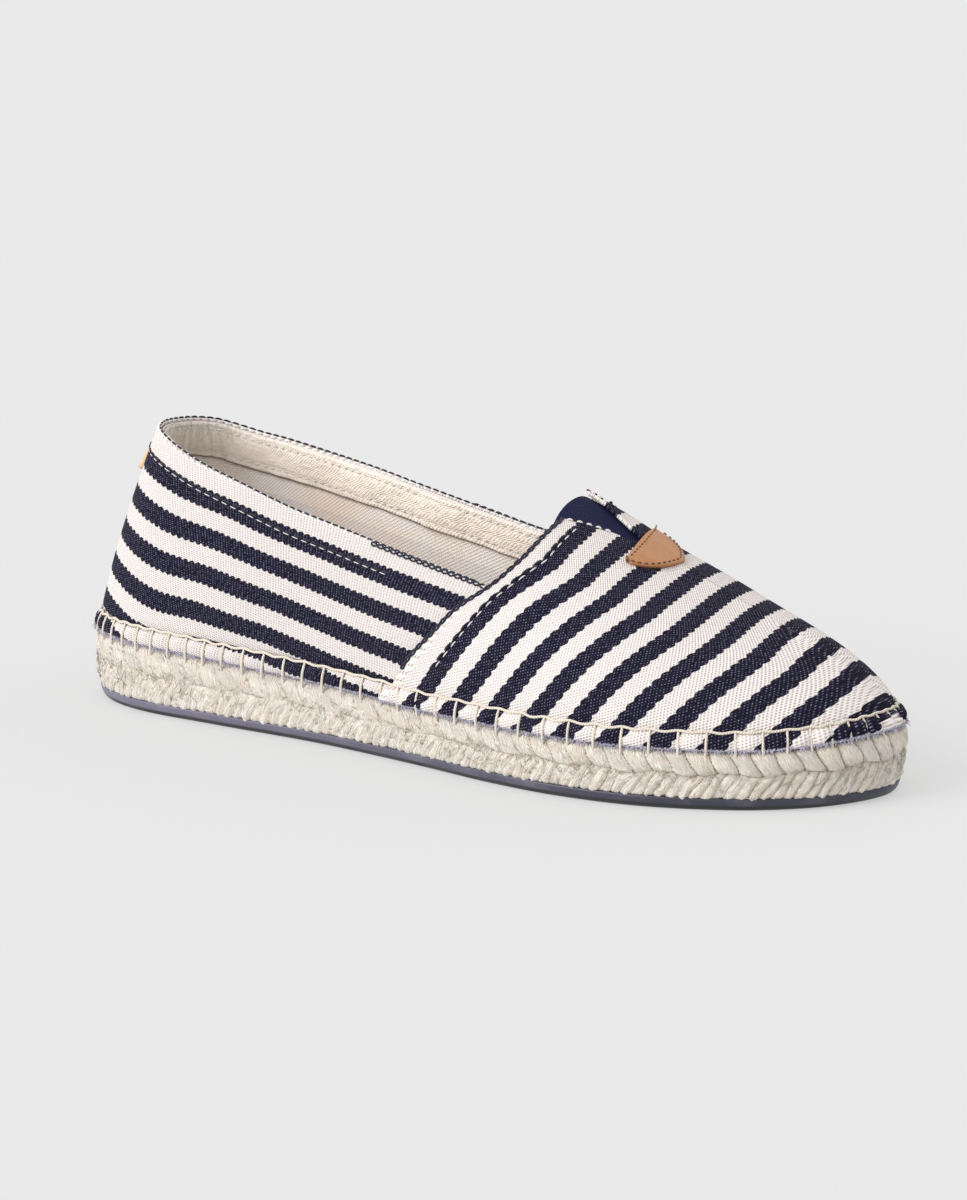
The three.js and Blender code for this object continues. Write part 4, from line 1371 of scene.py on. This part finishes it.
for outer in (True, False):
    corner = vamp_corner(outer)
    climb = np.linspace(0.10, corner, 160)
    path, away = vamp_line(vamp_start(climb, outer)[0] + 0.006, climb, outer, 0.0)
    navy_parts += twin_cords(path, away, VAMP_LOOP_PITCH, 0.45, 0.38)
    climb = np.linspace(0.12, corner, 160)
    path, away = vamp_line(stripe_station(climb, outer, 0.76), climb, outer, 0.12)
    navy_parts.append(dashes(path, away, VAMP_SEWING_PITCH, 0.85, 0.34, 0.25))
    path, away = vamp_line(stripe_station(climb, outer, 0.86), climb, outer, 0.15)
    white_parts.append(dashes(path, away, VAMP_SEWING_PITCH, 0.62, 0.22, 0.15, offset=1.6))
    climb = np.linspace(corner + 0.004, 0.93, 80)
    path, away = vamp_line(vamp_start(climb, outer)[1] + 0.02, climb, outer, 0.05)
    white_parts.append(dashes(path, away, THROAT_SEWING_PITCH, 0.7, 0.3, 0.3))
    navy_parts.append(dashes(path, away, THROAT_SEWING_PITCH, 0.5, 0.28, 0.1, offset=1.6))

for seam in TAPE_SEAMS:
    climb = tape_foot + (tape_top - tape_foot) * seam
    path = inside(u_tape, climb, TAPE_DEPTH + TAPE + 0.1)
    white_parts.append(dashes(path, -outward(u_tape, climb), TAPE_SEWING_PITCH, 0.72, 0.25, 0.15))

white_thread = thread_finish("white thread", dye(220, 214, 210), dye(250, 247, 244), 1.0)
navy_thread = thread_finish("navy thread", dye(20, 20, 34), dye(44, 44, 68), 1.0)
add_piece("navy_edge_chain", navy_parts, navy_thread)
add_piece("white_sewing", white_parts, white_thread)

# ---- sewing of the leather tabs ------------------------------------------------------------------
# Brown thread in short stitches a little inside the edge of each tab: along the curved front and
# the straight rear of the throat tab, and across both ends of the heel pull.
TAB_SEWING_PITCH = 1.9
side = np.sin(np.linspace(-0.93, 0.93, 120) * np.pi / 2)
front = tab_plan(side, np.full(side.shape, 0.90))
rear = tab_plan(side[::-1] * 0.9, np.full(side.shape, 0.10))
parts = []
for flat in (front, rear):
    u, c = last_over(flat)
    away = outward(u, c)
    path = last(u, c) + away * 1.66
    parts.append(dashes(path, away, TAB_SEWING_PITCH, 0.68, 0.21, 0.12, sides=5, rings=5))
for share in (0.13, 0.87):
    climb = low + (high - low) * share
    away = outward(u_pull * 0.8, climb)
    path = last(u_pull * 0.8, climb) + away * (pull_stands_off(share) + 0.05)
    parts.append(dashes(path, away, TAB_SEWING_PITCH, 0.68, 0.24, 0.12, sides=5, rings=5))
brown_thread = thread_finish("brown thread", dye(92, 56, 34), dye(132, 86, 56), 1.0)
add_piece("tab_sewing", parts, brown_thread)

# ---- loose jute fibres ---------------------------------------------------------------------------
# Fine hairs that stand out of the braid all round. They follow the lean of the strands, up to the
# seam between the rows from below and down to it from above, and none reaches the floor.
HAIRS = 2600
HAIR_FLOOR = 2.2
u_hair = draw.uniform(0, STATIONS, HAIRS)
share = draw.beta(1.1, 1.3, HAIRS)
flat = outline(u_hair, wall_inset(share) + 0.2)
hair_from = at_height(flat, JUTE_BOTTOM + (sole_top(flat[:, 0]) - JUTE_BOTTOM) * share)
ahead = outline(u_hair + 0.01, wall_inset(share)) - outline(u_hair, wall_inset(share))
ahead = at_height(ahead / np.linalg.norm(ahead, axis=1, keepdims=True), 0)
out_of = np.stack([ahead[:, 1], -ahead[:, 0], np.zeros(HAIRS)], -1)
slant = np.where(share > SEAM_SHARE, -0.8, 0.8)[:, None]
reach = draw.uniform(1.2, 3.4, (HAIRS, 1))
way = ahead * draw.normal(0.6, 0.5, (HAIRS, 1))
way = way + np.array([0, 0, 1.0]) * (slant * 0.7 + draw.normal(0, 0.4, (HAIRS, 1)))
way = way + out_of * draw.uniform(0.05, 0.38, (HAIRS, 1))
hair_to = hair_from + reach * way
hair_to[:, 2] = np.clip(hair_to[:, 2], HAIR_FLOOR, None)
hair_radius = draw.uniform(0.05, 0.13, HAIRS)
hairs = spindles(hair_from, hair_to, out_of, hair_radius, 0.3, sides=3, rings=5)
fibre_thread = thread_finish("jute fibre ends", dye(214, 196, 168), dye(246, 236, 220), 2.0)
add_piece("jute_hairs", [hairs], fibre_thread)

# ---- floor, light and camera ---------------------------------------------------------------------
# A pale matt floor under soft, even studio light. The shoe is seen from its outer side, a third
# of the way round to the toe and a little above it, through a long lens.
FLOOR_HALF = 6
floor_mesh = bpy.data.meshes.new("floor")
floor_corners = [(FLOOR_HALF * x, FLOOR_HALF * y, 0) for x, y in ((-1, -1), (1, -1), (1, 1), (-1, 1))]
floor_mesh.from_pydata(floor_corners, [], [(0, 1, 2, 3)])
floor = bpy.data.objects.new("floor", floor_mesh)
bpy.context.scene.collection.objects.link(floor)
pale, tree, shader = finish("pale floor", roughness=0.9, specular_ior_level=0.1)
shader.inputs["Base Color"].default_value = (0.24, 0.24, 0.24, 1)
shader.inputs["Emission Color"].default_value = (1, 1, 1, 1)
shader.inputs["Emission Strength"].default_value = 0.515
floor_mesh.materials.append(pale)

scene = bpy.context.scene
scene.view_settings.view_transform = "Standard"
world = bpy.data.worlds.new("studio")
world.use_nodes = True
sky = world.node_tree.nodes["Background"]
sky.inputs["Color"].default_value = (1, 1, 1, 1)
sky.inputs["Strength"].default_value = 0.85
scene.world = world


def lamp(title, kind, energy, place, aim, **settings):
    """A light that points from place to aim."""
    light = bpy.data.lights.new(title, kind)
    light.energy = energy
    for name, value in settings.items():
        setattr(light, name, value)
    holder = bpy.data.objects.new(title, light)
    holder.location = place
    holder.rotation_euler = (Vector(aim) - Vector(place)).to_track_quat("-Z", "Y").to_euler()
    scene.collection.objects.link(holder)


lamp("key", "SUN", 2.2, (-0.75, -1.6, 1.0), (0, 0, 0), angle=0.8)
lamp("rim", "AREA", 1.6, (0.9, 1.2, 1.2), (0, 0, 0.04), size=1.2)

AZIMUTH, ELEVATION, DISTANCE = np.radians(35.7), np.radians(12.1), 2.0
right = Vector((np.cos(AZIMUTH), np.sin(AZIMUTH), 0))
back = Vector((np.sin(AZIMUTH) * np.cos(ELEVATION), -np.cos(AZIMUTH) * np.cos(ELEVATION),
               np.sin(ELEVATION)))
up = back.cross(right)
target = Vector([(a + b) / 2 for a, b in zip(*CAD_BOX)])
camera_data = bpy.data.cameras.new("camera")
camera_data.sensor_fit = "HORIZONTAL"
camera_data.sensor_width = 36
camera_data.lens = 278
camera_data.clip_end = 50
camera = bpy.data.objects.new("camera", camera_data)
camera.matrix_world = Matrix((right, up, back)).transposed().to_4x4()
camera.location = target + back * DISTANCE
scene.collection.objects.link(camera)
scene.camera = camera
